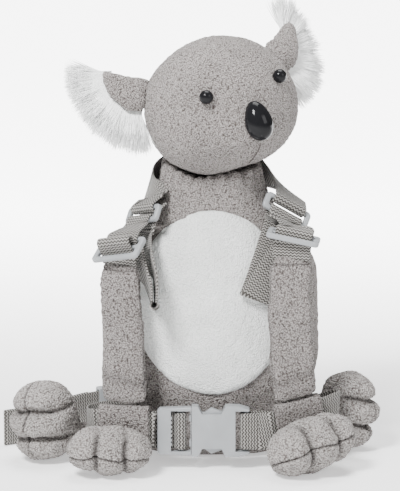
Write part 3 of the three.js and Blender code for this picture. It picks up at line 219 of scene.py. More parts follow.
def plush_pile():
    """Nubs of curled pile: cells jittered by noise, raised in their middles, with painted shade between them.
    """
    group, given, result = add_group(
        "plush pile",
        [
            ("Place", "Vector", None),
            ("Nub Color", "Color", (0.6, 0.56, 0.54, 1)),
            ("Gap Shade Color", "Color", (0.25, 0.22, 0.21, 1)),
            ("Nubs per Metre", "Float", 1000.0),
            ("Relief", "Float", 0.0018),
        ],
        [("Color", "Color"), ("Normal", "Vector")],
    )
    pull = node(group, "TexNoise", Vector=given.outputs["Place"], Scale=480.0, Detail=2.0)
    jitter = 0.001
    shift = node(
        group, "VectorMath", {"operation": "MULTIPLY_ADD"},
        _0=pull.outputs["Color"], _1=(jitter,) * 3, _2=given.outputs["Place"],
    )
    cells = node(
        group, "TexVoronoi", {"feature": "F1"},
        Vector=shift.outputs[0], Scale=given.outputs["Nubs per Metre"],
    )
    curls = node(group, "TexNoise", Vector=given.outputs["Place"], Scale=900.0, Detail=3.0, Roughness=0.6)
    nub = maths(group, "SUBTRACT", 1.0, maths(group, "MULTIPLY", cells.outputs["Distance"], 1.1))
    raised, curled = maths(group, "MULTIPLY", nub, 0.75), maths(group, "MULTIPLY", curls.outputs["Fac"], 0.4)
    height = maths(group, "ADD", raised, curled)
    shade = node(group, "MapRange", Value=height, **{"From_Min": 0.25, "From_Max": 0.95})
    drift = node(group, "TexNoise", Vector=given.outputs["Place"], Scale=38.0, Detail=2.0)
    tint = node(
        group, "MapRange", Value=drift.outputs["Fac"],
        **{"From_Min": 0.3, "From_Max": 0.7, "To_Min": 0.9, "To_Max": 1.05},
    )
    # Between the nubs the colour fades to the gap colour, a painted shade standing in for the shadow down in
    # the pile.
    blend = node(
        group, "Mix", {"data_type": "RGBA"},
        _0=shade.outputs[0], _6=given.outputs["Gap Shade Color"], _7=given.outputs["Nub Color"],
    )
    toned = node(group, "VectorMath", {"operation": "SCALE"}, _0=blend.outputs[2], Scale=tint.outputs[0])
    bump = node(group, "Bump", Strength=1.0, Distance=given.outputs["Relief"], Height=height)
    group.links.new(toned.outputs[0], result.inputs["Color"])
    group.links.new(bump.outputs[0], result.inputs["Normal"])
    return group


pile = plush_pile()


def plush(name, nub_color, gap_shade_color, nubs=1000.0, relief=0.0022):
    """Plush with its own colour on the nubs and a painted shade between them, on the piece's own coordinates.
    """
    made, tree, shader = material(name, nub_color, 0.95)
    group = tree.nodes.new("ShaderNodeGroup")
    group.node_tree = pile
    place = tree.nodes.new("ShaderNodeTexCoord")
    tree.links.new(place.outputs["Object"], group.inputs["Place"])
    group.inputs["Nub Color"].default_value = (*nub_color, 1)
    group.inputs["Gap Shade Color"].default_value = (*gap_shade_color, 1)
    group.inputs["Nubs per Metre"].default_value = nubs
    group.inputs["Relief"].default_value = relief
    # Where a piece's seam attribute is high, the colour is mixed towards a darker painted shade, standing in
    # for the shadow in seams, folds and grooves.
    seam = node(tree, "Attribute", {"attribute_name": "seam"})
    seam_shade_mix = node(tree, "Mix", {"data_type": "RGBA"}, _0=seam.outputs["Fac"], _6=group.outputs["Color"])
    seam_shade_mix.inputs[7].default_value = (*(value * 0.35 for value in gap_shade_color), 1)
    tree.links.new(seam_shade_mix.outputs[2], shader.inputs["Base Color"])
    tree.links.new(group.outputs["Normal"], shader.inputs["Normal"])
    shader.inputs["Sheen Weight"].default_value = 0.15
    shader.inputs["Sheen Roughness"].default_value = 0.5
    shader.inputs["Sheen Tint"].default_value = (0.95, 0.93, 0.92, 1)
    shader.inputs["Specular IOR Level"].default_value = 0.15
    return made


# The second colour is the painted shade between the nubs.
grey_plush = plush("grey plush", (0.57, 0.53, 0.512), (0.075, 0.062, 0.056))


def copy_of(name, part):
    """A new piece with the welded shape of a CAD node."""
    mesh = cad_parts[part].data.copy()
    mesh.name = name
    mesh.materials.clear()
    return settle(name, mesh)


def places(piece):
    """A piece's points, in millimetres."""
    values = np.empty(len(piece.data.vertices) * 3)
    piece.data.vertices.foreach_get("co", values)
    return values.reshape(-1, 3) * 1000


def put(piece, points):
    """Moves a piece's points to places in millimetres."""
    piece.data.vertices.foreach_set("co", (points * 0.001).ravel())
    piece.data.update()


def outwards(piece):
    """The direction straight out of the surface at each point."""
    values = np.empty(len(piece.data.vertices) * 3)
    piece.data.vertex_normals.foreach_get("vector", values)
    return values.reshape(-1, 3)


def lumps(points, size, seed, waves=14):
    """Unevenness from -1 to 1: the mean of sine waves of about one length in many directions."""
    chance = np.random.default_rng(seed)
    heading = chance.normal(size=(waves, 3))
    heading /= np.linalg.norm(heading, axis=1, keepdims=True)
    length = size * chance.uniform(0.75, 1.35, waves)
    phase = chance.uniform(0, 2 * math.pi, waves)
    return np.sin(points @ heading.T * (2 * math.pi / length) + phase).sum(1) / math.sqrt(waves)


def stuff(piece, voxel, shrink, cap, levels, smooth=4):
    """Fills a closed form with stuffing.

    The form is drawn in a little, remeshed to even squares and blown up as cloth from the inside;
    no point may move farther than the cap. Sizes are in millimetres.
    """
    put(piece, places(piece) - shrink * outwards(piece))
    remesh = piece.modifiers.new("remesh", "REMESH")
    remesh.mode = "VOXEL"
    remesh.voxel_size = voxel * 0.001
    soften = piece.modifiers.new("soften", "SMOOTH")
    soften.factor = 0.5
    soften.iterations = smooth
    finish_mesh(piece)
    start = places(piece)
    cloth = piece.modifiers.new("cloth", "CLOTH")
    cloth.settings.use_pressure = True
    cloth.settings.uniform_pressure_force = 4
    cloth.settings.effector_weights.gravity = 0
    cloth.collision_settings.use_collision = False
    for moment in range(1, 21):
        bpy.context.scene.frame_set(moment)
    finish_mesh(piece)
    move = places(piece) - start
    far = np.linalg.norm(move, axis=1, keepdims=True)
    put(piece, start + move * np.minimum(1, cap / np.maximum(far, 1e-9)))
    bpy.context.scene.frame_set(1)
    divide = piece.modifiers.new("divide", "SUBSURF")
    divide.levels = divide.render_levels = levels
    finish_mesh(piece)


def paint_seam_shade(piece, depth):
    """Stores how deep each point lies in a seam, from 0 to 1, for the plush to paint shade there."""
    values = piece.data.attributes.new("seam", "FLOAT", "POINT")
    values.data.foreach_set("value", np.clip(depth, 0, 1).astype(np.float32))


body = copy_of("plush_body", "body")
remesh = body.modifiers.new("remesh", "REMESH")
remesh.mode = "VOXEL"
remesh.voxel_size = body_net
soften = body.modifiers.new("soften", "SMOOTH")
soften.factor = 0.5
soften.iterations = 5
divide = body.modifiers.new("divide", "SUBSURF")
divide.levels = divide.render_levels = 1
finish_mesh(body)
skin = places(body)
out = outwards(body)
neck = np.exp(-(((skin[:, 2] - 196) / 12) ** 2))
bearing = np.arctan2(skin[:, 1], skin[:, 0])
gathers = neck * 0.9 * np.sin(23 * bearing + 2 * np.sin(3 * bearing))
side_seam = np.exp(-((skin[:, 1] / 1.3) ** 2)) * (np.abs(skin[:, 0]) > 20)
move = 0.8 * lumps(skin, 34, 3) + 0.25 * lumps(skin, 6, 4) + gathers - 1.0 * side_seam
outer = np.abs(skin[:, 2] - 2) > 3
put(body, skin + out * (move * outer)[:, None])
# Painted shade along the side seams and in the inner folds of the neck's gathers.
paint_seam_shade(body, 0.7 * side_seam + 0.35 * neck * np.clip(-gathers, 0, 1))
body.data.materials.append(grey_plush)
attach(body, "root")
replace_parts(body, "body")


# Tummy: an oval of white plush, laid on the body's front and sewn down round its edge.
tummy_width, tummy_height, tummy_centre = 106.0, 123.0, 109.0
tummy_pile = 2.4
# The second colour is the painted shade between the nubs.
white_plush = plush("white plush", (0.95, 0.96, 0.95), (0.70, 0.715, 0.70), 900.0, 0.0012)


def body_front(x, z):
    """The depth of the body's front: on each level a superellipse, its half sizes read from the table."""
    half_width = np.interp(z / body_height, body_heights, body_widths) * body_width / 2
    half_depth = np.interp(z / body_height, body_heights, body_depths) * body_depth / 2
    part = np.clip(np.abs(x) / half_width, 0, 1) ** body_squareness
    return -half_depth * (1 - part) ** (1 / body_squareness)


def tummy_patch():
    """An oval disc in rings: the pile stands off the body and rolls in over the last few millimetres."""
    rolled = 0.93 + 0.07 * np.sin(np.linspace(0.1, 1, 12) * math.pi / 2)
    ring = np.concatenate([np.linspace(0.002, 0.93, 56), rolled])
    turn = np.linspace(0, 2 * math.pi, 180, endpoint=False)
    x = ring[:, None] * np.cos(turn) * tummy_width / 2
    z = ring[:, None] * np.sin(turn) * tummy_height / 2 + tummy_centre
    edge = np.clip((1 - ring) / 0.07, 0, 1)
    stand = tummy_pile * (1 - (1 - edge) ** 2) ** 0.5
    front = np.stack([x, body_front(x, z) - stand[:, None], z], -1)
    rim = front[-1:] + [0, 2.0, 0]
    back = front[::-1] + [0, 1.2, 0] + np.array([0, 1, 0]) * stand[::-1, None, None]
    return np.concatenate([front, rim, back])


tummy = lay("tummy_plush", tummy_patch(), round_columns=True, caps=True)
patch = places(tummy)
put(tummy, patch + outwards(tummy) * (0.18 * lumps(patch, 5, 8) + 0.25 * lumps(patch, 22, 9))[:, None])
tummy.data.materials.append(white_plush)
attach(tummy, "root")
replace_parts(tummy, "tummy_patch")


# Head: a stuffed ball of the same plush with full cheeks and a short muzzle, turned to one side.
head_size = np.array([111.0, 104.0, 96.0])
head_centre = np.array([5.0, -5.0, 239.5])
head_turn, head_tilt = math.radians(26), math.radians(-13)
head_blend = 3.0
head_lobes = np.array([
    # x, y, z, width, depth, height, in shares of the head's half sizes and sizes
    [0, 0, 0.06, 0.95, 0.97, 0.93],
    [-0.2, -0.06, -0.2, 0.76, 0.82, 0.74],
    [0.2, -0.06, -0.2, 0.76, 0.82, 0.74],
    [0, -0.2, -0.24, 0.62, 0.82, 0.62],
])


def turned(axis, angle):
    """The matrix of a turn about x, y or z."""
    c, s = math.cos(angle), math.sin(angle)
    a, b = [(1, 2), (2, 0), (0, 1)]["xyz".index(axis)]
    matrix = np.eye(3)
    matrix[a, a] = matrix[b, b] = c
    matrix[a, b], matrix[b, a] = -s, s
    return matrix


head_matrix = turned("y", head_tilt) @ turned("z", head_turn)


def on_head(points):
    """Takes points from the head's own frame, with its face to -y, to the koala's."""
    return points @ head_matrix.T + head_centre


def from_head(points):
    """Takes points of the koala to the head's own frame."""
    return (points - head_centre) @ head_matrix


def head_reach(direction):
    """How far the head's surface lies along a direction: each lobe's far side, softly joined."""
    total = 0
    for x, y, z, width, depth, height in head_lobes:
        half = head_size * [width, depth, height] / 2
        centre = head_size * [x, y, z] / 2 / half
        ray = direction / half
        along = ray @ centre
        square = (ray**2).sum(-1)
        reach = (along + np.sqrt(along**2 - square * (centre @ centre - 1))) / square
        total = total + np.exp(reach / head_blend)
    return head_blend * np.log(total)


def head_ball():
    """The head's surface on a grid of rises and bearings."""
    rise = np.linspace(-math.pi / 2 + 0.02, math.pi / 2 - 0.02, 60)[:, None]
    bearing = np.linspace(0, 2 * math.pi, 96, endpoint=False)[None, :]
    level = np.cos(rise)
    direction = np.stack([level * np.cos(bearing), level * np.sin(bearing), np.sin(rise) + 0 * bearing], -1)
    return on_head(direction * head_reach(direction)[..., None])


head = lay("plush_head", head_ball(), round_columns=True, caps=True)
stuff(head, voxel=4, shrink=1.5, cap=2.2, levels=2, smooth=2)
skin = places(head)
face = from_head(skin)
out = outwards(head)
chin_seam = np.exp(-((face[:, 0] / 1.0) ** 2)) * (face[:, 1] < 0) * (face[:, 2] < -22)
crown_seam = np.exp(-((face[:, 0] / 1.2) ** 2)) * (face[:, 1] > 8)
move = 0.5 * lumps(skin, 30, 12) + 0.22 * lumps(skin, 3.4, 13) - 0.9 * chin_seam - 0.8 * crown_seam
put(head, skin + out * move[:, None])
head.data.materials.append(grey_plush)
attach(head, "root")
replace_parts(head, "head")


# Nose and eyes: beads of glossy black plastic. The stem through the plush and the washer behind each are not
# drawn.
nose_size = np.array([18.5, 17.0, 27.0])
nose_drop = 11.0
eye_size, eye_rise, eye_bearing, eye_sunk = 9.4, 12.0, math.radians(33), 1.2


def head_point(bearing, height):
    """The head's surface at a bearing from the face and a height, found by walking up the surface."""
    rise = 0.0
    for _ in range(12):
        level = math.cos(rise)
        direction = np.array([level * math.sin(bearing), -level * math.cos(bearing), math.sin(rise)])
        point = direction * head_reach(direction)
        rise += (height - point[2]) / head_size[2]
    return point


def bead(centre, size, taper=0.0, lean=0.0, rows=36, columns=48):
    """An egg: a ball whose girth shrinks towards its top by the taper."""
    rise = np.linspace(-math.pi / 2 + 0.01, math.pi / 2 - 0.01, rows)[:, None]
    turn = np.linspace(0, 2 * math.pi, columns, endpoint=False)[None, :]
    girth = np.cos(rise) * (1 - taper * np.sin(rise))
    ball = np.stack([girth * np.cos(turn), girth * np.sin(turn), np.sin(rise) + 0 * turn], -1)
    ball = ball * np.array(size) / 2
    return on_head(ball @ turned("x", lean).T + centre)


black_gloss, tree, shader = material("black gloss", (0.008, 0.008, 0.009), 0.09)
fine = node(tree, "TexNoise", Vector=own_place(tree), Scale=160.0, Detail=3.0)
rough = node(tree, "MapRange", Value=fine.outputs["Fac"], **{"To_Min": 0.05, "To_Max": 0.17})
tree.links.new(rough.outputs[0], shader.inputs["Roughness"])
shader.inputs["Specular IOR Level"].default_value = 0.12

nose_bead = bead(head_point(0, -nose_drop), nose_size, 0.16, math.radians(-8))
nose = lay("nose_button", nose_bead, round_columns=True, caps=True)
nose.data.materials.append(black_gloss)
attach(nose, "root")
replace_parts(nose, "nose")
for side, word in ((-1, "left"), (1, "right")):
    seat = head_point(side * eye_bearing, eye_rise)
    centre = seat * (1 + (eye_size / 4 - eye_sunk) / np.linalg.norm(seat))
    eye = lay(f"eye_button_{word}", bead(centre, [eye_size] * 3), round_columns=True, caps=True)
    eye.data.materials.append(black_gloss)
    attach(eye, "root")
    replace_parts(eye, f"eye_{word}")


# Mouth: one short line of dark thread from under the nose, curving to the chin.
thread_radius = 0.32
dark_thread, tree, shader = material("dark thread", (0.06, 0.05, 0.045), 0.9)
place = own_place(tree)
twist = node(tree, "TexWave", {"bands_direction": "DIAGONAL"}, Vector=place, Scale=900.0, Distortion=1.0)
tint = node(tree, "ValToRGB", Fac=twist.outputs["Fac"])
tint.color_ramp.elements[0].color = (0.035, 0.03, 0.028, 1)
tint.color_ramp.elements[1].color = (0.10, 0.085, 0.078, 1)
bump = node(tree, "Bump", Strength=0.6, Distance=0.0002, Height=twist.outputs["Fac"])
tree.links.new(tint.outputs["Color"], shader.inputs["Base Color"])
tree.links.new(bump.outputs[0], shader.inputs["Normal"])


def ring_tube(path, radius, sides=8):
    """A round cord along a path: at each point a circle square to the way ahead."""
    ahead = np.gradient(path, axis=0)
    ahead /= np.linalg.norm(ahead, axis=1, keepdims=True)
    aside = np.cross(ahead, [0.31, 0.2, 0.93])
    aside /= np.linalg.norm(aside, axis=1, keepdims=True)
    over = np.cross(ahead, aside)
    turn = np.linspace(0, 2 * math.pi, sides, endpoint=False)[None, :, None]
    circle = np.cos(turn) * aside[:, None] + np.sin(turn) * over[:, None]
    return path[:, None] + np.reshape(radius, (-1, 1, 1)) * circle


def mouth_line():
    """Down the muzzle's middle, bending aside towards its end, just proud of the plush."""
    share = np.linspace(0, 1, 30)
    bearing = 0.02 - 0.11 * share**2
    rise = np.radians(np.interp(share, [0, 1], [-30, -52]))
    direction = np.stack([np.cos(rise) * np.sin(bearing), -np.cos(rise) * np.cos(bearing), np.sin(rise)], -1)
    return on_head(direction * (head_reach(direction) - 0.35)[:, None])


mouth = lay("mouth_thread", ring_tube(mouth_line(), thread_radius), round_columns=True, caps=True)
mouth.data.materials.append(dark_thread)
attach(mouth, "root")


# Ears: two-layer petals of grey plush, cupped forwards, sewn into the head along their roots.
for word in ("left", "right"):
    ear = copy_of(f"plush_ear_{word}", f"ear_{word}")
    stuff(ear, voxel=1.8, shrink=0.3, cap=0.8, levels=1, smooth=6)
    skin = places(ear)
    skin = skin + outwards(ear) * (0.3 * lumps(skin, 9, 21) + 0.16 * lumps(skin, 3, 22))[:, None]
    near = skin - head_centre
    far = np.linalg.norm(near, axis=1)
    root = np.clip(1 - (far - far.min()) / 9, 0, 1)
    put(ear, skin - near / far[:, None] * (2.6 * root)[:, None])
    # Painted shade where the ear's root sinks into the head.
    paint_seam_shade(ear, 0.8 * np.clip(root - 0.45, 0, 1))
    ear.data.materials.append(grey_plush)
    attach(ear, "root")
    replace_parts(ear, f"ear_{word}")


# Ear fur: long soft white pile, sewn in along each ear's free edge and brushed out into a fan of locks.
ear_length, ear_root, ear_thickness = 33.0, 29.0, 6.0
ear_outs = np.array([0.05, 0.3, 0.55, 0.78, 0.93, 1.02])
ear_lows = np.array([-1.02, -1.06, -0.86, -0.46, 0.02, 0.42])
ear_tip_high = 0.8
fur_length, fur_droop = 27.0, 3.0
fur_strands = 5000
ear_poses = {
    # root centre in shares of the head's half sizes, then up the root, then out to the tip
    "left": (-1, (-0.78, 0.3, 0.37), (0.475, 0.2, 0.861), (-0.76, 0.38, 0.5), (-106, -4)),
    "right": (1, (0.92, 0.06, 0.42), (-0.42, 0.2, 0.885), (0.84, 0.5, 0.3), (-92, 40)),
}
white_fur, tree, shader = material("white fur", (0.86, 0.87, 0.86), 0.8)
drift = node(tree, "TexNoise", Vector=own_place(tree), Scale=150.0, Detail=3.0)
tint = node(tree, "ValToRGB", Fac=drift.outputs["Fac"])
tint.color_ramp.elements[0].position = 0.3
tint.color_ramp.elements[0].color = (0.88, 0.89, 0.88, 1)
tint.color_ramp.elements[1].position = 0.65
tint.color_ramp.elements[1].color = (0.97, 0.975, 0.97, 1)
tree.links.new(tint.outputs["Color"], shader.inputs["Base Color"])
shader.inputs["Sheen Weight"].default_value = 0.3
shader.inputs["Specular IOR Level"].default_value = 0.2


def through(points, shares):
    """A smooth curve through points, evenly rounded however far apart they are.

    Between two points each coordinate is a cubic. Its slopes at the ends come from the neighbours,
    weighted by the square roots of the distances between them, so that no short gap makes a loop.
    """
    points = np.asarray(points, float)
    points = np.concatenate([[2 * points[0] - points[1]], points, [2 * points[-1] - points[-2]]])
    place = np.clip(np.asarray(shares, float), 0, 1) * (len(points) - 3)
    first = np.minimum(place.astype(int), len(points) - 4)
    share = (place - first)[:, None]
    a, b, c, d = (points[first + k] for k in range(4))
    gap = [np.sqrt(np.linalg.norm(q - p, axis=1, keepdims=True)) for p, q in ((a, b), (b, c), (c, d))]
    gap[1] = np.where(gap[1] < 1e-4, 1, gap[1])
    gap[0], gap[2] = (np.where(g < 1e-4, gap[1], g) for g in (gap[0], gap[2]))
    leave = ((b - a) / gap[0] - (c - a) / (gap[0] + gap[1]) + (c - b) / gap[1]) * gap[1]
    arrive = ((c - b) / gap[1] - (d - b) / (gap[1] + gap[2]) + (d - c) / gap[2]) * gap[1]
    bend, twist = 3 * (c - b) - 2 * leave - arrive, 2 * (b - c) + leave + arrive
    return b + leave * share + bend * share**2 + twist * share**3


def unit(vector):
    """The same direction with a length of one."""
    vector = np.asarray(vector, float)
    return vector / np.linalg.norm(vector, axis=-1, keepdims=True)


def fur_fan(side, root, across, out, fan, seed):
    """Strands along the ear's edge.

    Each starts near the edge, heads out at an angle that runs evenly from one end of the fan to the
    other, droops, and gathers towards the middle of its lock. It is a thin three-sided taper.
    """
    chance = np.random.default_rng(seed)
    centre = np.array(root) * head_size / 2
    across = unit(across)
    out = np.array(out, float)
    out = unit(out - across * (out @ across))
    face = np.cross(across, out) * side
    rim = np.stack([ear_lows * ear_root / 2, ear_outs * ear_length, 0 * ear_outs], -1)
    rim = np.concatenate([rim, [[ear_tip_high * ear_root / 2, ear_length, 0]]])
    share = chance.uniform(-0.02, 1.02, fur_strands)
    locks = 15
    lock = (np.floor(share * locks) + 0.5) / locks
    start = through(rim, share)
    gathered = share + 0.75 * (lock - share)
    heading = np.radians(fan[0] + (fan[1] - fan[0]) * gathered + chance.normal(0, 5, fur_strands))
    layer = chance.uniform(-1, 1, fur_strands)
    front = ear_thickness / 2 + 1.5 + 2.2 * layer
    lean = 0.17 + 0.2 * layer + 0.08 * np.sin(lock * 61)
    length = fur_length * (0.93 + 0.1 * np.sin(lock * 97)) * chance.uniform(0.62, 1.06, fur_strands)
    along = np.linspace(-0.28, 1, 6)
    wave = chance.normal(0, 0.7, (fur_strands, 1)) * along**2
    reach = length[:, None] * along
    a = start[:, :1] + np.sin(heading)[:, None] * reach + np.cos(heading)[:, None] * wave
    o = start[:, 1:2] + np.cos(heading)[:, None] * reach - np.sin(heading)[:, None] * wave
    f = front[:, None] + lean[:, None] * reach - fur_droop * along**2
    line = centre + a[..., None] * across + o[..., None] * out + f[..., None] * face
    ahead = unit(np.gradient(line, axis=1))
    aside = unit(np.cross(ahead, face + 0.3 * across))
    over = np.cross(ahead, aside)
    radius = (0.36 * (1 - np.clip(along, 0, 1) ** 2.5 * 0.85))[None, :, None, None]
    turn = (np.arange(3) * 2 * math.pi / 3)[None, None, :, None]
    tube = line[:, :, None] + radius * (np.cos(turn) * aside[:, :, None] + np.sin(turn) * over[:, :, None])
    return on_head(tube)


def strands(name, tubes):
    """One mesh of many three-sided tubes, each closed by a triangle at both ends."""
    count, rows, sides = tubes.shape[:3]
    base = (np.arange(count) * rows * sides)[:, None]
    row, column = (k.ravel() for k in np.meshgrid(np.arange(rows - 1), np.arange(sides), indexing="ij"))
    corner = [row * sides + column, row * sides + (column + 1) % sides]
    a, b = base + corner[0], base + corner[1]
    quads = np.stack([a, b, b + sides, a + sides], -1)
    ends = np.stack([base[:, 0] + 2, base[:, 0] + 1, base[:, 0]], -1)
    last = (rows - 1) * sides
    tips = np.stack([base[:, 0] + last, base[:, 0] + last + 1, base[:, 0] + last + 2], -1)
    mesh = bpy.data.meshes.new(name)
    faces = quads.reshape(-1, 4).tolist() + ends.tolist() + tips.tolist()
    mesh.from_pydata((tubes.reshape(-1, 3) * 0.001).tolist(), [], faces)
    return settle(name, mesh)


for word, (side, root, across, out, fan) in ear_poses.items():
    fur = strands(f"white_fur_{word}", fur_fan(side, root, across, out, fan, 31 + side))
    fur.data.materials.append(white_fur)
    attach(fur, "root")
    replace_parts(fur, f"ear_fur_{word}")


# Webbing: flat 25 mm straps in a herringbone weave, with a firm edge. All the straps are cut from it.
webbing_width, webbing_thickness = 25.0, 1.4


def herringbone():
    """Zigzag ribs: each is a sine along the strap, shifted by a triangle wave across it; the grooves between
    them get a painted shade.
    """
    group, given, result = add_group(
        "herringbone weave",
        [
            ("Place", "Vector", None),
            ("Rib Color", "Color", (0.5, 0.48, 0.45, 1)),
            ("Groove Shade Color", "Color", (0.1, 0.09, 0.08, 1)),
            ("Pitch", "Float", 0.0019),
            ("Zigzag", "Float", 0.0013),
            ("Relief", "Float", 0.0006),
        ],
        [("Color", "Color"), ("Normal", "Vector")],
    )
    place = node(group, "SeparateXYZ", Vector=given.outputs["Place"])
    fold = maths(group, "PINGPONG", place.outputs["X"], given.outputs["Zigzag"])
    shifted = maths(group, "MULTIPLY_ADD", fold, 0.8, place.outputs["Y"])
    turns = maths(group, "MULTIPLY", maths(group, "DIVIDE", shifted, given.outputs["Pitch"]), 2 * math.pi)
    rib = maths(group, "MULTIPLY_ADD", maths(group, "SINE", turns), 0.5, 0.5)
    half_way = maths(group, "ADD", place.outputs["X"], 0.00065)
    crossing = maths(group, "PINGPONG", half_way, given.outputs["Zigzag"])
    threads = node(group, "TexNoise", Vector=given.outputs["Place"], Scale=1600.0, Detail=2.0)
    knot = maths(group, "MULTIPLY", maths(group, "DIVIDE", crossing, given.outputs["Zigzag"]), 0.12)
    twine = maths(group, "MULTIPLY", threads.outputs["Fac"], 0.3)
    height = maths(group, "ADD", maths(group, "ADD", rib, knot), twine)
    shade = node(
        group, "MapRange", {"interpolation_type": "SMOOTHSTEP"}, Value=height,
        **{"From_Min": 0.45, "From_Max": 1.2},
    )
    # The grooves between ribs take the groove colour, a painted shade.
    blend = node(
        group, "Mix", {"data_type": "RGBA"},
        _0=shade.outputs[0], _6=given.outputs["Groove Shade Color"], _7=given.outputs["Rib Color"],
    )
    bump = node(group, "Bump", Strength=1.0, Distance=given.outputs["Relief"], Height=height)
    group.links.new(blend.outputs[2], result.inputs["Color"])
    group.links.new(bump.outputs[0], result.inputs["Normal"])
    return group


weave = herringbone()
grey_webbing, tree, shader = material("grey webbing", (0.42, 0.40, 0.375), 0.7)
group = tree.nodes.new("ShaderNodeGroup")
group.node_tree = weave
group.inputs["Rib Color"].default_value = (0.335, 0.322, 0.302, 1)
# The groove colour is a painted shade, far darker than the yarn.
group.inputs["Groove Shade Color"].default_value = (0.042, 0.038, 0.034, 1)
tree.links.new(tree.nodes.new("ShaderNodeTexCoord").outputs["UV"], group.inputs["Place"])
tree.links.new(group.outputs["Color"], shader.inputs["Base Color"])
tree.links.new(group.outputs["Normal"], shader.inputs["Normal"])
shader.inputs["Sheen Weight"].default_value = 0.15
shader.inputs["Specular IOR Level"].default_value = 0.3


class Hold:
    """A right-angled frame on a fitting: x across the webbing, y back to the shoulder, z out of its face."""

    def __init__(self, origin, across, back):
        self.origin = np.asarray(origin, float)
        self.x = unit(across)
        back = np.asarray(back, float)
        self.y = unit(back - self.x * (back @ self.x))
        self.z = np.cross(self.x, self.y)

    def at(self, x, y, z):
        """The koala's place for a place in the frame; each may be an array."""
        x, y, z = np.broadcast_arrays(*(np.asarray(k, float)[..., None] for k in (x, y, z)))
        return self.origin + x * self.x + y * self.y + z * self.z


def on_body(x, y, z):
    """A point in shares of the body's width, depth and height."""
    return np.array([x * body_width, y * body_depth, z * body_height])


def straight(stations, step=1.2):
    """Stations a step apart on straight lines between the given ones: rows of a place and a way across."""
    rows = np.array(stations, float).reshape(-1, 6)
    far = np.linalg.norm(np.diff(rows[:, :3], axis=0), axis=1)
    parts = [rows[:1]]
    for a, b, length in zip(rows[:-1], rows[1:], far):
        count = max(1, int(round(length / step)))
        parts.append(a + (b - a) * np.linspace(0, 1, count + 1)[1:, None])
    return np.concatenate(parts)


def run(stations, steps=60):
    """Stations along one smooth run through a few chosen ones."""
    rows = np.array(stations, float).reshape(-1, 6)
    shares = np.linspace(0, 1, steps + 1)
    return np.concatenate([through(rows[:, :3], shares), unit(through(rows[:, 3:], shares))], 1)


def wrap(hold, y, radius, from_angle, to_angle, steps=24):
    """Stations on an arc about a bar that lies along x."""
    angle = np.radians(np.linspace(from_angle, to_angle, steps + 1))
    places_ = hold.at(0, y + radius * np.cos(angle), radius * np.sin(angle))
    return np.concatenate([places_, np.broadcast_to(hold.x, places_.shape)], 1)


def lead(hold, station, y, z, distance):
    """A station farther along a straight line that leaves a fitting."""
    way = unit(y * hold.y + z * hold.z)
    return np.concatenate([station[:3] + way * distance, hold.x])


def strap(name, rows, looped=False, smooth=2, ride="root"):
    """Webbing through stations.

    Each station is drawn a little towards its neighbours, then a flat section with rounded edges is
    carried along them, square to the way ahead.
    """
    for _ in range(smooth):
        middle = (np.roll(rows, 1, 0) + np.roll(rows, -1, 0) + 2 * rows) / 4
        rows = middle if looped else np.concatenate([rows[:1], middle[1:-1], rows[-1:]])
    place = rows[:, :3]
    if looped:
        ahead = unit(np.roll(place, -1, 0) - np.roll(place, 1, 0))
    else:
        ahead = unit(np.gradient(place, axis=0))
    across = rows[:, 3:] - ahead * (rows[:, 3:] * ahead).sum(1, keepdims=True)
    across = unit(across)
    face = np.cross(across, ahead)
    half, thick = webbing_width / 2, webbing_thickness / 2
    over = [-half + 0.35, -half + 1.2, -6, 0, 6, half - 1.2, half - 0.35]
    swell = np.array([0.75, 1, 0.92, 0.92, 0.92, 1, 0.75])
    u = np.array([-half, *over, half, *over[::-1]])
    w = np.array([0, *swell, 0, *-swell]) * thick
    points = place[:, None] + u[None, :, None] * across[:, None] + w[None, :, None] * face[:, None]
    steps = np.linalg.norm(np.diff(np.concatenate([place, place[:1]]), axis=0), axis=1)
    along = np.concatenate([[0], np.cumsum(steps)])
    piece = lay(
        name, points, round_rows=looped, round_columns=True, caps=not looped, across=u + 50, along=along
    )
    piece.data.materials.append(grey_webbing)
    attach(piece, ride)
    return piece


# Shoulder straps: on each side a strap from the back of the neck carries a slider, a slack loop runs
# from the slider to a ladder lock, and the arm hangs from the lock by a short tab.
seat_gap = 0.3
bar, side_room = 3.4, 1.4
slider_opening, lock_slot, lead_length, hem_length = 5.6, 4.9, 5.0, 18.0
wrap_radius = bar * 0.62 + seat_gap + webbing_thickness / 2
slider_bar = (slider_opening + bar) / 2
lock_pitch = lock_slot + bar
arm_width, arm_thickness, arm_room, patch_thickness = 32.0, 12.0, 4.5, 2.0
arm_depth = body_depth / 2 + seat_gap + patch_thickness + arm_room + arm_thickness / 2


def station(x, y, z, across):
    """A place in shares of the body's sizes, with the way across the webbing."""
    return [*on_body(x, y, z), *across]


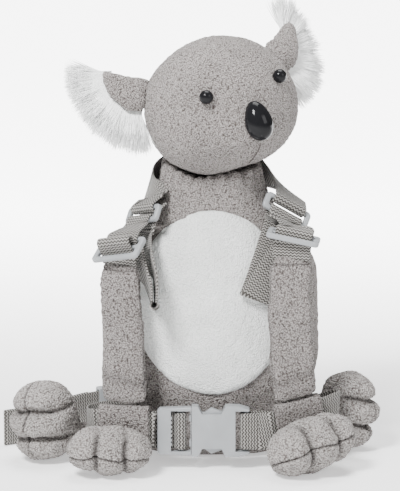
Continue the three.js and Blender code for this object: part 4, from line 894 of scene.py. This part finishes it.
poses = {
    "left": {
        "side": -1,
        "slider": Hold(on_body(-0.307, -0.32, 0.819), (0.6, -0.77, 0.2), (0.27, 0.45, 0.85)),
        "slack": 6.5,
        "fall": 32,
        "lock": Hold(on_body(-0.412, -0.596, 0.724), (0.85, -0.46, 0.18), (0.33, 0.8, 0.5)),
        "neck": [
            station(-0.285, -0.09, 0.868, (0.35, -0.48, 0.8)),
            station(-0.28, 0.1, 0.897, (0.25, -0.2, 0.95)),
            station(-0.21, 0.24, 0.92, (0.25, 0.1, 0.96)),
            station(-0.12, 0.32, 0.925, (0.1, 0.05, 1)),
            station(-0.05, 0.25, 0.915, (0.05, 0, 1)),
        ],
        "front": [station(-0.29, -0.57, 0.62, (0.3, -0.95, 0))],
        "bottom": station(-0.262, -0.635, 0.545, (0.05, -1, 0)),
        "stand": -4.5,
        "back": [station(-0.254, -0.585, 0.64, (0.15, -1, 0))],
        "arm": [(-0.408, -4.5, 0.69, -28), (-0.4, 0, 0.52, -9), (-0.39, 4.5, None, -13)],
        "cuff": (0.2, 0),
        "hand": ((-0.455, -0.842, 17.5), (4, -6, 3), (59, 45, 35)),
        "foot": ((-114, -0.41, 27.56), (-24, 0, 84), (56.2, 53, 48.3)),
        "waist": [
            station(-0.553, -0.545, 0, (0, 0, 1)),
            station(-0.556, -0.43, 0, (0, 0, 1)),
            station(-0.49, -0.33, 0, (0, 0, 1)),
            station(-0.36, -0.24, 0, (0, 0, 1)),
        ],
    },
    "right": {
        "side": 1,
        "slider": Hold(on_body(0.337, -0.265, 0.828), (0.84, 0.2, -0.5), (0.27, 0.5, 0.8)),
        "slack": 2.5,
        "fall": 42,
        "lock": Hold(on_body(0.361, -0.572, 0.763), (0.96, -0.12, -0.19), (0.2, 0.97, 0.04)),
        "neck": [
            station(0.335, -0.03, 0.885, (0.76, 0.13, -0.64)),
            station(0.28, 0.11, 0.91, (0.56, 0.15, -0.81)),
            station(0.2, 0.24, 0.93, (0.3, 0.05, -0.95)),
            station(0.12, 0.3, 0.925, (0.1, 0, -1)),
            station(0.05, 0.25, 0.915, (0.05, 0, -1)),
        ],
        "front": [station(0.27, -0.53, 0.63, (0.93, 0.08, -0.35))],
        "bottom": station(0.205, -0.54, 0.555, (0.93, 0.1, -0.35)),
        "stand": 1,
        "back": [station(0.25, -0.495, 0.65, (0.93, 0.08, -0.35))],
        "arm": [(0.352, -4, 0.71, 6), (0.345, -1, 0.52, 4), (0.385, 0, None, 28)],
        "cuff": (0.694, 8),
        "hand": ((0.44, -0.79, 20), (30, -22, -10), (67.2, 50.6, 39.5)),
        "foot": ((94.5, -0.1, 27.56), (48, 0, -84), (55.7, 49, 38.6)),
        "waist": [
            station(0.57, -0.43, 0.045, (0, 0, 1)),
            station(0.567, -0.35, 0.04, (0, 0, 1)),
            station(0.5, -0.29, 0.02, (0, 0, 1)),
            station(0.36, -0.22, 0, (0, 0, 1)),
        ],
    },
}


def neck_strap(pose):
    """From the neck's back over the shoulder, round the slider's rear bar, and a short hem under itself."""
    fall, slider = pose["fall"], pose["slider"]
    around = wrap(slider, slider_bar, wrap_radius, 90 - fall, 270 - fall)
    away = (math.cos(math.radians(fall)), -math.sin(math.radians(fall)))
    start, hem = (lead(slider, end, *away, hem_length / 2) for end in (around[0], around[-1]))
    over = run([*pose["neck"][::-1], start], 90)
    return np.concatenate([over, straight([start, around[0]])[1:-1], around, straight([around[-1], hem])[1:]])


def adjuster_strap(pose):
    """Over the slider's front bar, down round the lock's rear bar, on to the folded tail, and back up."""
    slider, lock = pose["slider"], pose["lock"]
    upper = wrap(slider, -slider_bar, wrap_radius, -90, 90)
    lower = wrap(lock, lock_pitch, wrap_radius, 90, 205)
    over = lead(slider, upper[-1], -1, 0.1, lead_length)
    onto = lead(lock, lower[0], 1, 0.15, lead_length)
    leave = lead(lock, lower[-1], 0.42, -0.91, lead_length)
    come_back = lead(slider, upper[0], -1, -0.1, lead_length)
    behind_pad = [*lock.at(0, lock_pitch, -0.7 * arm_thickness), *lock.x]
    under_slider = [*slider.at(0, -slider_bar - arm_thickness, pose["stand"]), *slider.x]
    bottom = np.array(pose["bottom"])
    down = run([leave, behind_pad, *pose["front"], bottom], 72)
    heading = unit(down[-1, :3] - down[-6, :3])
    facing = unit(np.cross(heading, bottom[3:]))
    facing *= np.sign(facing @ (np.array(pose["back"][0][:3]) - np.array(pose["front"][0][:3])))
    radius = webbing_thickness / 2 + seat_gap
    angle = np.linspace(0, math.pi, 13)[1:, None]
    places_ = bottom[:3] + facing * radius * (1 - np.cos(angle)) + heading * radius * np.sin(angle)
    fold = np.concatenate([places_, np.broadcast_to(unit(bottom[3:]), places_.shape)], 1)
    up = run([fold[-1], *pose["back"], under_slider, come_back], 72)[1:]
    top = straight([upper[-1], over, onto, lower[0]])[1:-1]
    falling, closing = straight([lower[-1], leave])[1:-1], straight([come_back, upper[0]])[1:-1]
    return np.concatenate([upper, top, lower, falling, down, fold, up, closing])


def arm_curve(pose):
    """The arm pad's middle line and its turn, from its sewn top to the cuff."""
    (top, middle, foot) = pose["arm"]
    cuff = cuff_hold(pose)
    points = [[x * body_width, -arm_depth - y, z * body_height] for x, y, z, _ in (top, middle)]
    points.append(cuff.at(0, 0, cuff_height / 2 + seat_gap))
    turns = [[turn, 0, 0] for *_, turn in (top, middle, foot)]
    return lambda share: (through(points, share), np.radians(through(turns, share)[:, 0]))


cuff_wall, cuff_length = 2.5, 35.0
waist_height = 26.5
buckle_length, buckle_plate = 61.6, 9.0
buckle_half = buckle_length / 2
buckle_x = -0.038 * body_width
cuff_height = webbing_width + 2 * (side_room + cuff_wall)
cuff_depth = webbing_thickness + 2 * (side_room + cuff_wall)


def cuff_hold(pose):
    """The cuff's frame: x along the strap's tunnel, y to the back, z up."""
    clear, tilt = pose["cuff"]
    turn, lean = math.radians(pose["arm"][2][3]), math.radians(tilt)
    along = (math.cos(turn) * math.cos(lean), math.sin(turn) * math.cos(lean), math.sin(lean))
    x = buckle_x + pose["side"] * (buckle_half + clear * webbing_width + cuff_length / 2 * along[0])
    rise = webbing_width * (0.06 + 0.016 * tilt)
    middle = (x, -arm_depth - pose["arm"][2][1], waist_height + rise)
    return Hold(middle, along, (-math.sin(turn), math.cos(turn), 0))


def arm_tab(pose):
    """A loop sewn into the pad's top, standing over the lock's middle bar."""
    lock = pose["lock"]
    place, turn = arm_curve(pose)([0.05])
    cosine, sine = math.cos(turn[0]), math.sin(turn[0])
    top = Hold(place[0], (cosine, sine, 0), (-sine, cosine, 0))
    angle = np.radians(np.linspace(180, 0, 25))
    places_ = lock.at(0, wrap_radius * np.cos(angle), pose["slack"] + wrap_radius * np.sin(angle))
    over = np.concatenate([places_, np.broadcast_to(lock.x, places_.shape)], 1)
    apart = webbing_thickness / 2 + seat_gap
    front, back = ([*top.at(0, y, 0), *lock.x] for y in (-apart, apart))
    rise = [[*lock.at(0, -wrap_radius, z), *lock.x] for z in (-bar / 2 - 1, bar / 2)]
    drop = [[*lock.at(0, wrap_radius, z), *lock.x] for z in (bar / 2, -bar / 2 - 1)]
    climb, fall = straight([front, *rise, over[0]])[:-1], straight([over[-1], *drop, back])[1:]
    return np.concatenate([climb, over, fall])


for word, pose in poses.items():
    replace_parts(strap(f"webbing_neck_{word}", neck_strap(pose)), f"neck_strap_{word}")
    loop = strap(f"webbing_adjuster_{word}", adjuster_strap(pose), looped=True)
    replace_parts(loop, f"adjuster_strap_{word}")
    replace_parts(strap(f"webbing_tab_{word}", arm_tab(pose)), f"arm_tab_{word}")


# Sliders, ladder locks, buckle and keeper: pale grey plastic, moulded with rounded edges.
pale_plastic, tree, shader = material("pale plastic", (0.27, 0.28, 0.29), 0.4)
place = own_place(tree)
drift = node(tree, "TexNoise", Vector=place, Scale=60.0, Detail=2.0)
tint = node(tree, "ValToRGB", Fac=drift.outputs["Fac"])
tint.color_ramp.elements[0].position, tint.color_ramp.elements[1].position = 0.3, 0.7
tint.color_ramp.elements[0].color = (0.25, 0.26, 0.27, 1)
tint.color_ramp.elements[1].color = (0.29, 0.301, 0.313, 1)
grain = node(tree, "TexNoise", Vector=place, Scale=2600.0, Detail=2.0)
bump = node(tree, "Bump", Strength=0.25, Distance=0.0001, Height=grain.outputs["Fac"])
rough = node(tree, "MapRange", Value=drift.outputs["Fac"], **{"To_Min": 0.32, "To_Max": 0.5})
tree.links.new(tint.outputs["Color"], shader.inputs["Base Color"])
tree.links.new(rough.outputs[0], shader.inputs["Roughness"])
tree.links.new(bump.outputs[0], shader.inputs["Normal"])


def moulded(name, part, rounding, segments=3):
    """A CAD node's solid with its edges rounded, as they leave the mould."""
    piece = copy_of(name, part)
    join = bmesh.new()
    join.from_mesh(piece.data)
    bmesh.ops.dissolve_limit(join, angle_limit=math.radians(1), verts=join.verts, edges=join.edges)
    join.to_mesh(piece.data)
    join.free()
    soften = piece.modifiers.new("rounding", "BEVEL")
    soften.width = rounding * 0.001
    soften.segments = segments
    soften.limit_method = "ANGLE"
    soften.angle_limit = math.radians(28)
    soften.harden_normals = True
    finish_mesh(piece)
    piece.data.materials.append(pale_plastic)
    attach(piece, "root")
    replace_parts(piece, part)
    return piece


for word in poses:
    moulded(f"moulded_slider_{word}", f"strap_slider_{word}", 0.55)
    moulded(f"moulded_lock_{word}", f"ladder_lock_{word}", 0.55)
moulded("moulded_prongs", "buckle_prongs", 0.22)
moulded("moulded_socket", "buckle_socket", 0.3)


# Waist strap: two lengths, each folded round its half of the buckle, run through a cuff and back
# round to a seam in the body's side.
bar_at = -buckle_half + buckle_plate + lock_slot + bar / 2
end_bar_at = buckle_half - bar / 2 - 1
buckle_hold = Hold((buckle_x, -arm_depth - 2.5, waist_height), (1, 0, 0), (0, 1, 0))


def waist_strap(pose):
    """The hem behind the buckle, round its bar, through the cuff and on behind it to the body."""
    side = pose["side"]
    at_bar = bar_at if side < 0 else end_bar_at

    def near(x, y):
        return np.array([*buckle_hold.at(x, y, 0), 0, 0, 1])

    hem = wrap_radius + webbing_thickness / 2
    hem_end = near(at_bar + side * (wrap_radius + hem_length), hem)
    hem_start = near(at_bar + side * (wrap_radius + 2), hem)
    angle = np.radians(np.linspace(90, -165 if side < 0 else 270, 37))
    circle = wrap_radius * np.stack([np.cos(angle), np.sin(angle)], -1)
    around = np.array([near(at_bar + x, y) for x, y in circle])
    if side < 0:
        leave = [
            near(bar_at - wrap_radius - 0.9, webbing_thickness / 2 + 0.2),
            near(-buckle_half - 3, webbing_thickness / 2 + 0.4),
        ]
    else:
        leave = [near(at_bar + wrap_radius + 6, -wrap_radius)]
    cuff = cuff_hold(pose)
    reach = cuff_length / 2 + 2.5
    before, after = ([*cuff.at(-side * x, 0, 0), *cuff.z] for x in (reach, -reach))
    behind = [np.array(row) + [0, 0, waist_height, 0, 0, 0] for row in pose["waist"]]
    return np.concatenate([
        straight([hem_end, hem_start, around[0]])[:-1], around, straight([around[-1], *leave])[1:-1],
        run([leave[-1], before], 30), straight([before, after])[1:-1], run([after, *behind], 90),
    ])


for word, pose in poses.items():
    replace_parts(strap(f"webbing_waist_{word}", waist_strap(pose)), f"waist_strap_{word}")


# Arms: the shoulder straps, flat padded sleeves of plush over foam, closed at the top by a double
# row of stitches over the tab and seamed down both edges.
arm_squareness = 3.0
arm_downs = np.array([0, 0.03, 0.1, 0.2, 0.4, 0.6, 0.78, 0.92, 1])
arm_widths = np.array([80, 86, 96, 99, 98, 100, 103, 107, 109]) / 100
arm_thicks = np.array([34, 58, 86, 98, 100, 100, 100, 90, 70]) / 100
# The second colour is the painted shade between the nubs.
soft_plush = plush("soft plush", (0.53, 0.493, 0.477), (0.07, 0.058, 0.053), 900.0, 0.0024)


def arm_pad(pose):
    """The pad's section carried down its curve: a squarish superellipse, its sizes read from the table."""
    down = np.linspace(0, 1, 56)
    place, turn = arm_curve(pose)(down)
    lean = np.radians(pose["cuff"][1]) * down**3
    turns = np.linspace(0, 2 * math.pi, 64, endpoint=False)
    c, s = np.cos(turns), np.sin(turns)
    half_width = (np.interp(down, arm_downs, arm_widths) * arm_width / 2)[:, None]
    half_thickness = (np.interp(down, arm_downs, arm_thicks) * arm_thickness / 2)[:, None]
    x = half_width * np.sign(c) * np.abs(c) ** (2 / arm_squareness)
    y = half_thickness * np.sign(s) * np.abs(s) ** (2 / arm_squareness)
    along = unit(np.stack([np.cos(turn), np.sin(turn), np.tan(lean)], -1))
    back = np.stack([-np.sin(turn), np.cos(turn), 0 * turn], -1)
    return place[:, None] + x[..., None] * along[:, None] + y[..., None] * back[:, None], place, along, back


for word, pose in poses.items():
    grid, line, along, back = arm_pad(pose)
    arm = lay(f"plush_arm_{word}", grid, round_columns=True, caps=True)
    stuff(arm, voxel=3, shrink=1.0, cap=1.8, levels=2, smooth=2)
    skin = places(arm)
    out = outwards(arm)
    level = np.clip(np.interp(-skin[:, 2], -line[:, 2], np.arange(len(line))), 0, len(line) - 1)
    row = np.round(level).astype(int)
    offset = skin - line[row]
    x = (offset * along[row]).sum(1)
    y = (offset * back[row]).sum(1)
    half = np.interp(row / (len(line) - 1), arm_downs, arm_widths) * arm_width / 2
    edge_seam = np.exp(-(((half - np.abs(x) - 1.6) / 0.8) ** 2)) * (y < 0)
    drop = line[0, 2] - skin[:, 2]
    top_stitch = np.exp(-(((drop - 6.5) / 0.8) ** 2)) * (0.55 + 0.45 * np.sin(x * 2 * math.pi / 3.2))
    flat_top = np.clip(1 - drop / 6.5, 0, 1)
    crease = np.exp(-(((skin[:, 2] - 62 - 0.25 * x * pose["side"]) / 3.4) ** 2)) * (y < 0)
    move = 0.55 * lumps(skin, 26, 41) + 0.24 * lumps(skin, 3.2, 42)
    move = move - 0.7 * edge_seam - 1.1 * top_stitch - 0.9 * crease
    put(arm, skin + out * (move * (1 - 0.5 * flat_top))[:, None])
    # Painted shade along the edge seams, the row of top stitches and the crease.
    paint_seam_shade(arm, 0.55 * edge_seam + 0.6 * np.exp(-(((drop - 6.5) / 0.6) ** 2)) + 0.3 * crease)
    arm.data.materials.append(soft_plush)
    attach(arm, "root")
    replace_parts(arm, f"arm_{word}")


# Cuffs: at the wrist the plush folds round the waist strap and is stitched to the pad along a seam.
def cuff_sleeve(pose):
    """A flat tube: a rounded rectangle carried out along the tunnel's outside and back along its inside."""
    hold = cuff_hold(pose)
    turns = np.linspace(0, 2 * math.pi, 96, endpoint=False)
    c, s = np.cos(turns), np.sin(turns)
    outside = np.array([cuff_depth / 2, cuff_height / 2])
    inside = np.array([webbing_thickness / 2 + side_room, webbing_width / 2 + side_room])
    ends = np.sin(np.linspace(0, math.pi / 2, 6))
    half = cuff_length / 2
    rounding = 0.9 * (1 - ends[1:-1])
    length = np.linspace(-half + 1.2, half - 1.2, 44)
    x = np.concatenate([[-half + 1.5], -half + rounding, length, half - rounding[::-1], [half - 1.5]])
    size = np.concatenate([[0], ends[1:-1], np.ones(44), ends[1:-1][::-1], [0]])
    middle = (outside + inside) / 2
    outer = middle + (outside - middle) * size[:, None]
    grid_x = np.concatenate([x, x[::-1]])
    sizes = np.concatenate([outer, middle + (inside - middle) * size[::-1, None]])
    power = 2 / 4.5
    y = sizes[:, :1] * np.sign(c) * np.abs(c) ** power
    z = sizes[:, 1:] * np.sign(s) * np.abs(s) ** power
    return hold.at(grid_x[:, None] + 0 * y, y, z)


for word, pose in poses.items():
    cuff = lay(f"plush_cuff_{word}", cuff_sleeve(pose), round_rows=True, round_columns=True)
    skin = places(cuff)
    put(cuff, skin + outwards(cuff) * (0.22 * lumps(skin, 14, 51) + 0.12 * lumps(skin, 3.2, 52))[:, None])
    cuff.data.materials.append(soft_plush)
    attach(cuff, "root")
    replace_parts(cuff, f"cuff_{word}")


# Hands and feet: stuffed mitts of longer, paler plush. A top and a bottom half are seamed all round,
# and two rows of stitches pull each into three toes.
mitt_squareness, mitt_groove, mitt_groove_width = 2.3, 0.22, 0.17
# The second colour is the painted shade between the nubs.
hand_plush = plush("hand plush", (0.68, 0.645, 0.622), (0.12, 0.103, 0.095), 820.0, 0.0026)


def mitt_frame(centre, angles):
    """The turn and centre of a mitt: rolled about its length, then pitched, then turned."""
    turn, pitch, roll = (math.radians(angle) for angle in angles)
    return turned("z", turn) @ turned("x", pitch) @ turned("y", roll), np.array(centre, float)


def mitt_ball(size):
    """A rounded box across x, its girth dipping at the two grooves towards the toes at -y."""
    width, length, thickness = size
    share = np.linspace(-0.985, 0.985, 60)[:, None]
    angle = np.linspace(0, 2 * math.pi, 72, endpoint=False)[None, :]
    place = np.sin(share * math.pi / 2)
    close = (1 - np.abs(place) ** mitt_squareness) ** (1 / mitt_squareness)
    toe = (place + 1) * 1.5
    groove = np.exp(-(((toe - 1) / mitt_groove_width) ** 2)) + np.exp(-(((toe - 2) / mitt_groove_width) ** 2))
    near = np.clip((-np.sin(angle) + 0.65) / 1.45, 0, 1)
    radius = close * (1 - mitt_groove * groove * near * near * (3 - 2 * near))
    y, z = radius * length * np.sin(angle) / 2, radius * thickness * np.cos(angle) / 2
    return np.stack([place * width / 2 + 0 * angle, y, z], -1)


def mitt(name, centre, angles, size, seam_height, part):
    """A stuffed mitt with its grooves stitched in and its seam drawn tight, resting on the table."""
    matrix, middle = mitt_frame(centre, angles)
    piece = lay(name, mitt_ball(size) @ matrix.T + middle, round_columns=True, caps=True)
    stuff(piece, voxel=3, shrink=1.2, cap=2.4, levels=2, smooth=1)
    skin = places(piece)
    out = outwards(piece)
    own = (skin - middle) @ matrix
    wander = 0.5 * np.sin(own[:, 1] / 6) + 0.3 * np.sin(own[:, 2] / 4 + 1)
    toes = np.clip(0.45 - own[:, 1] / size[1] * 2.2, 0, 1)
    aside = [(own[:, 0] - side * size[0] / 6 + wander) / 1.5 for side in (-1, 1)]
    grooves = sum(np.exp(-(offset**2)) for offset in aside) * toes
    above_seam = (own[:, 2] - seam_height + 0.8 * np.sin(own[:, 0] / 5)) / 0.9
    seam = np.exp(-(above_seam**2)) * (own[:, 1] < size[1] * 0.2)
    puckers = seam * 0.35 * np.sin(own[:, 0] * 2 * math.pi / 3.6)
    move = 0.6 * lumps(skin, 16, 61) + 0.3 * lumps(skin, 3.0, 62) - 2.6 * grooves - 1.6 * seam - puckers
    skin = skin + out * move[:, None]
    skin[:, 2] = np.maximum(skin[:, 2], 0.15)
    put(piece, skin)
    # Painted shade in the toe grooves and along the seam.
    paint_seam_shade(piece, 0.9 * grooves**2 + 0.9 * seam**2)
    piece.data.materials.append(hand_plush)
    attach(piece, "root")
    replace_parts(piece, part)
    return piece


def clear_of_cuff(piece, pose):
    """Presses the back of a hand flat against the cuff and strap in front of which it lies."""
    hold = cuff_hold(pose)
    skin = places(piece)
    offset = skin - hold.origin
    x, y, z = offset @ hold.x, offset @ hold.y, offset @ hold.z
    limit = -(cuff_depth / 2 + seat_gap + 0.3)
    inside = (np.abs(z) < cuff_height / 2 + 1.5) & (y > limit) & (np.abs(x) < cuff_length / 2 + 60)
    put(piece, skin + np.where(inside, limit - y, 0)[:, None] * hold.y)


for word, pose in poses.items():
    centre, angles, size = pose["hand"]
    wrist = on_body(centre[0], centre[1], 0) + [0, 0, centre[2]]
    hand = mitt(f"plush_hand_{word}", wrist, angles, size, -4.5, f"hand_{word}")
    clear_of_cuff(hand, pose)
    centre, angles, size = pose["foot"]
    sole = [centre[0], centre[1] * body_depth, centre[2]]
    mitt(f"plush_foot_{word}", sole, angles, size, -3.0, f"foot_{word}")


# Legs: short stuffed sleeves from the body's sides to the feet.
for word in poses:
    leg = copy_of(f"plush_leg_{word}", f"leg_{word}")
    stuff(leg, voxel=2.5, shrink=0.8, cap=1.2, levels=1, smooth=4)
    skin = places(leg)
    skin = skin + outwards(leg) * (0.4 * lumps(skin, 12, 71))[:, None]
    skin[:, 2] = np.maximum(skin[:, 2], 0.15)
    put(leg, skin)
    leg.data.materials.append(grey_plush)
    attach(leg, "root")
    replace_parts(leg, f"leg_{word}")


# Tether: the hand strap's webbing, on its edge on the table from the body's back, behind the foot,
# to the fold of its wrist loop, whose end is caught by the keeper.
tether_places = [
    (-0.12, 0.44, 0), (-0.2, 0.54, 0), (-0.36, 0.5, 0.5), (-0.49, 0.46, 1), (-0.6, 0.36, 1),
    (-0.78, 0.14, 0), (-0.95, -0.03, 0),
]
keeper_place, keeper_wall = 0.56, 1.8


def tether_rows():
    """Out along the chosen places to the fold, and back beside itself as far as the keeper."""
    stations = [
        [x * body_width, y * body_depth, webbing_width / 2 + lift * (keeper_wall + side_room) + 0.2, 0, 0, 1]
        for x, y, lift in tether_places
    ]
    out = run(stations, 160)
    ahead = unit(out[-1, :3] - out[-5, :3])
    aside = np.cross(ahead, [0, 0, 1])
    radius = webbing_thickness / 2 + seat_gap
    angle = np.linspace(0, math.pi, 13)[:, None]
    around = out[-1, :3] + aside * radius * (1 - np.cos(angle)) + ahead * radius * np.sin(angle)
    start = int(round((keeper_place + 0.07) * 160))
    home = out[start:-1, :3][::-1]
    way = unit(np.gradient(home, axis=0))
    home = home + 2 * radius * np.cross(-way, [0, 0, 1])
    upright = [np.concatenate([part, np.broadcast_to([0.0, 0, 1], part.shape)], 1) for part in (around, home)]
    return np.concatenate([out[:-1], *upright])


rows = tether_rows()
tether = strap("webbing_tether", rows)
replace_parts(tether, "tether")
moulded("moulded_keeper", "tether_keeper", 0.5)


# Zip: tape sewn round the pouch's mouth, with a row of nylon teeth along each lip.
zip_width, zip_gape, zip_height, zip_thickness = 100.0, 9.0, 122.0, 1.6
zip_tape, tree, shader = material("zip tape", (0.30, 0.28, 0.265), 0.8)
place = own_place(tree)
ribs = node(tree, "TexWave", {"bands_direction": "Z"}, Vector=place, Scale=1100.0, Distortion=0.6)
tint = node(tree, "ValToRGB", Fac=ribs.outputs["Fac"])
tint.color_ramp.elements[0].color = (0.2, 0.185, 0.175, 1)
tint.color_ramp.elements[1].color = (0.34, 0.32, 0.30, 1)
bump = node(tree, "Bump", Strength=0.7, Distance=0.0003, Height=ribs.outputs["Fac"])
tree.links.new(tint.outputs["Color"], shader.inputs["Base Color"])
tree.links.new(bump.outputs[0], shader.inputs["Normal"])
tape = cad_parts["zip"]
tape.data.materials.clear()
tape.data.materials.append(zip_tape)
zip_teeth, tree, shader = material("zip teeth", (0.36, 0.34, 0.325), 0.45)
drift = node(tree, "TexNoise", Vector=own_place(tree), Scale=300.0, Detail=2.0)
tint = node(tree, "ValToRGB", Fac=drift.outputs["Fac"])
tint.color_ramp.elements[0].color = (0.3, 0.285, 0.27, 1)
tint.color_ramp.elements[1].color = (0.42, 0.40, 0.385, 1)
tree.links.new(tint.outputs["Color"], shader.inputs["Base Color"])
tooth_pitch, tooth_radius, tooth_lift = 2.0, 0.55, 0.35


def tooth_row(edge):
    """Small beads across the lip: each ring of a wavy cord is wide on a tooth and narrow between two."""
    x = np.arange(-zip_width / 2 + 3, zip_width / 2 - 3, tooth_pitch / 6)
    z = zip_height + edge * (zip_gape / 2 + 1.4) + 0 * x
    path = np.stack([x, -body_front(x, z) + seat_gap + zip_thickness + tooth_lift, z], -1)
    girth = tooth_radius * (0.68 + 0.32 * np.cos(x * 2 * math.pi / tooth_pitch))
    return ring_tube(path, girth)


for edge, word in ((1, "upper"), (-1, "lower")):
    teeth = lay(f"teeth_{word}", tooth_row(edge), round_columns=True, caps=True)
    teeth.data.materials.append(zip_teeth)
    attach(teeth, "root")
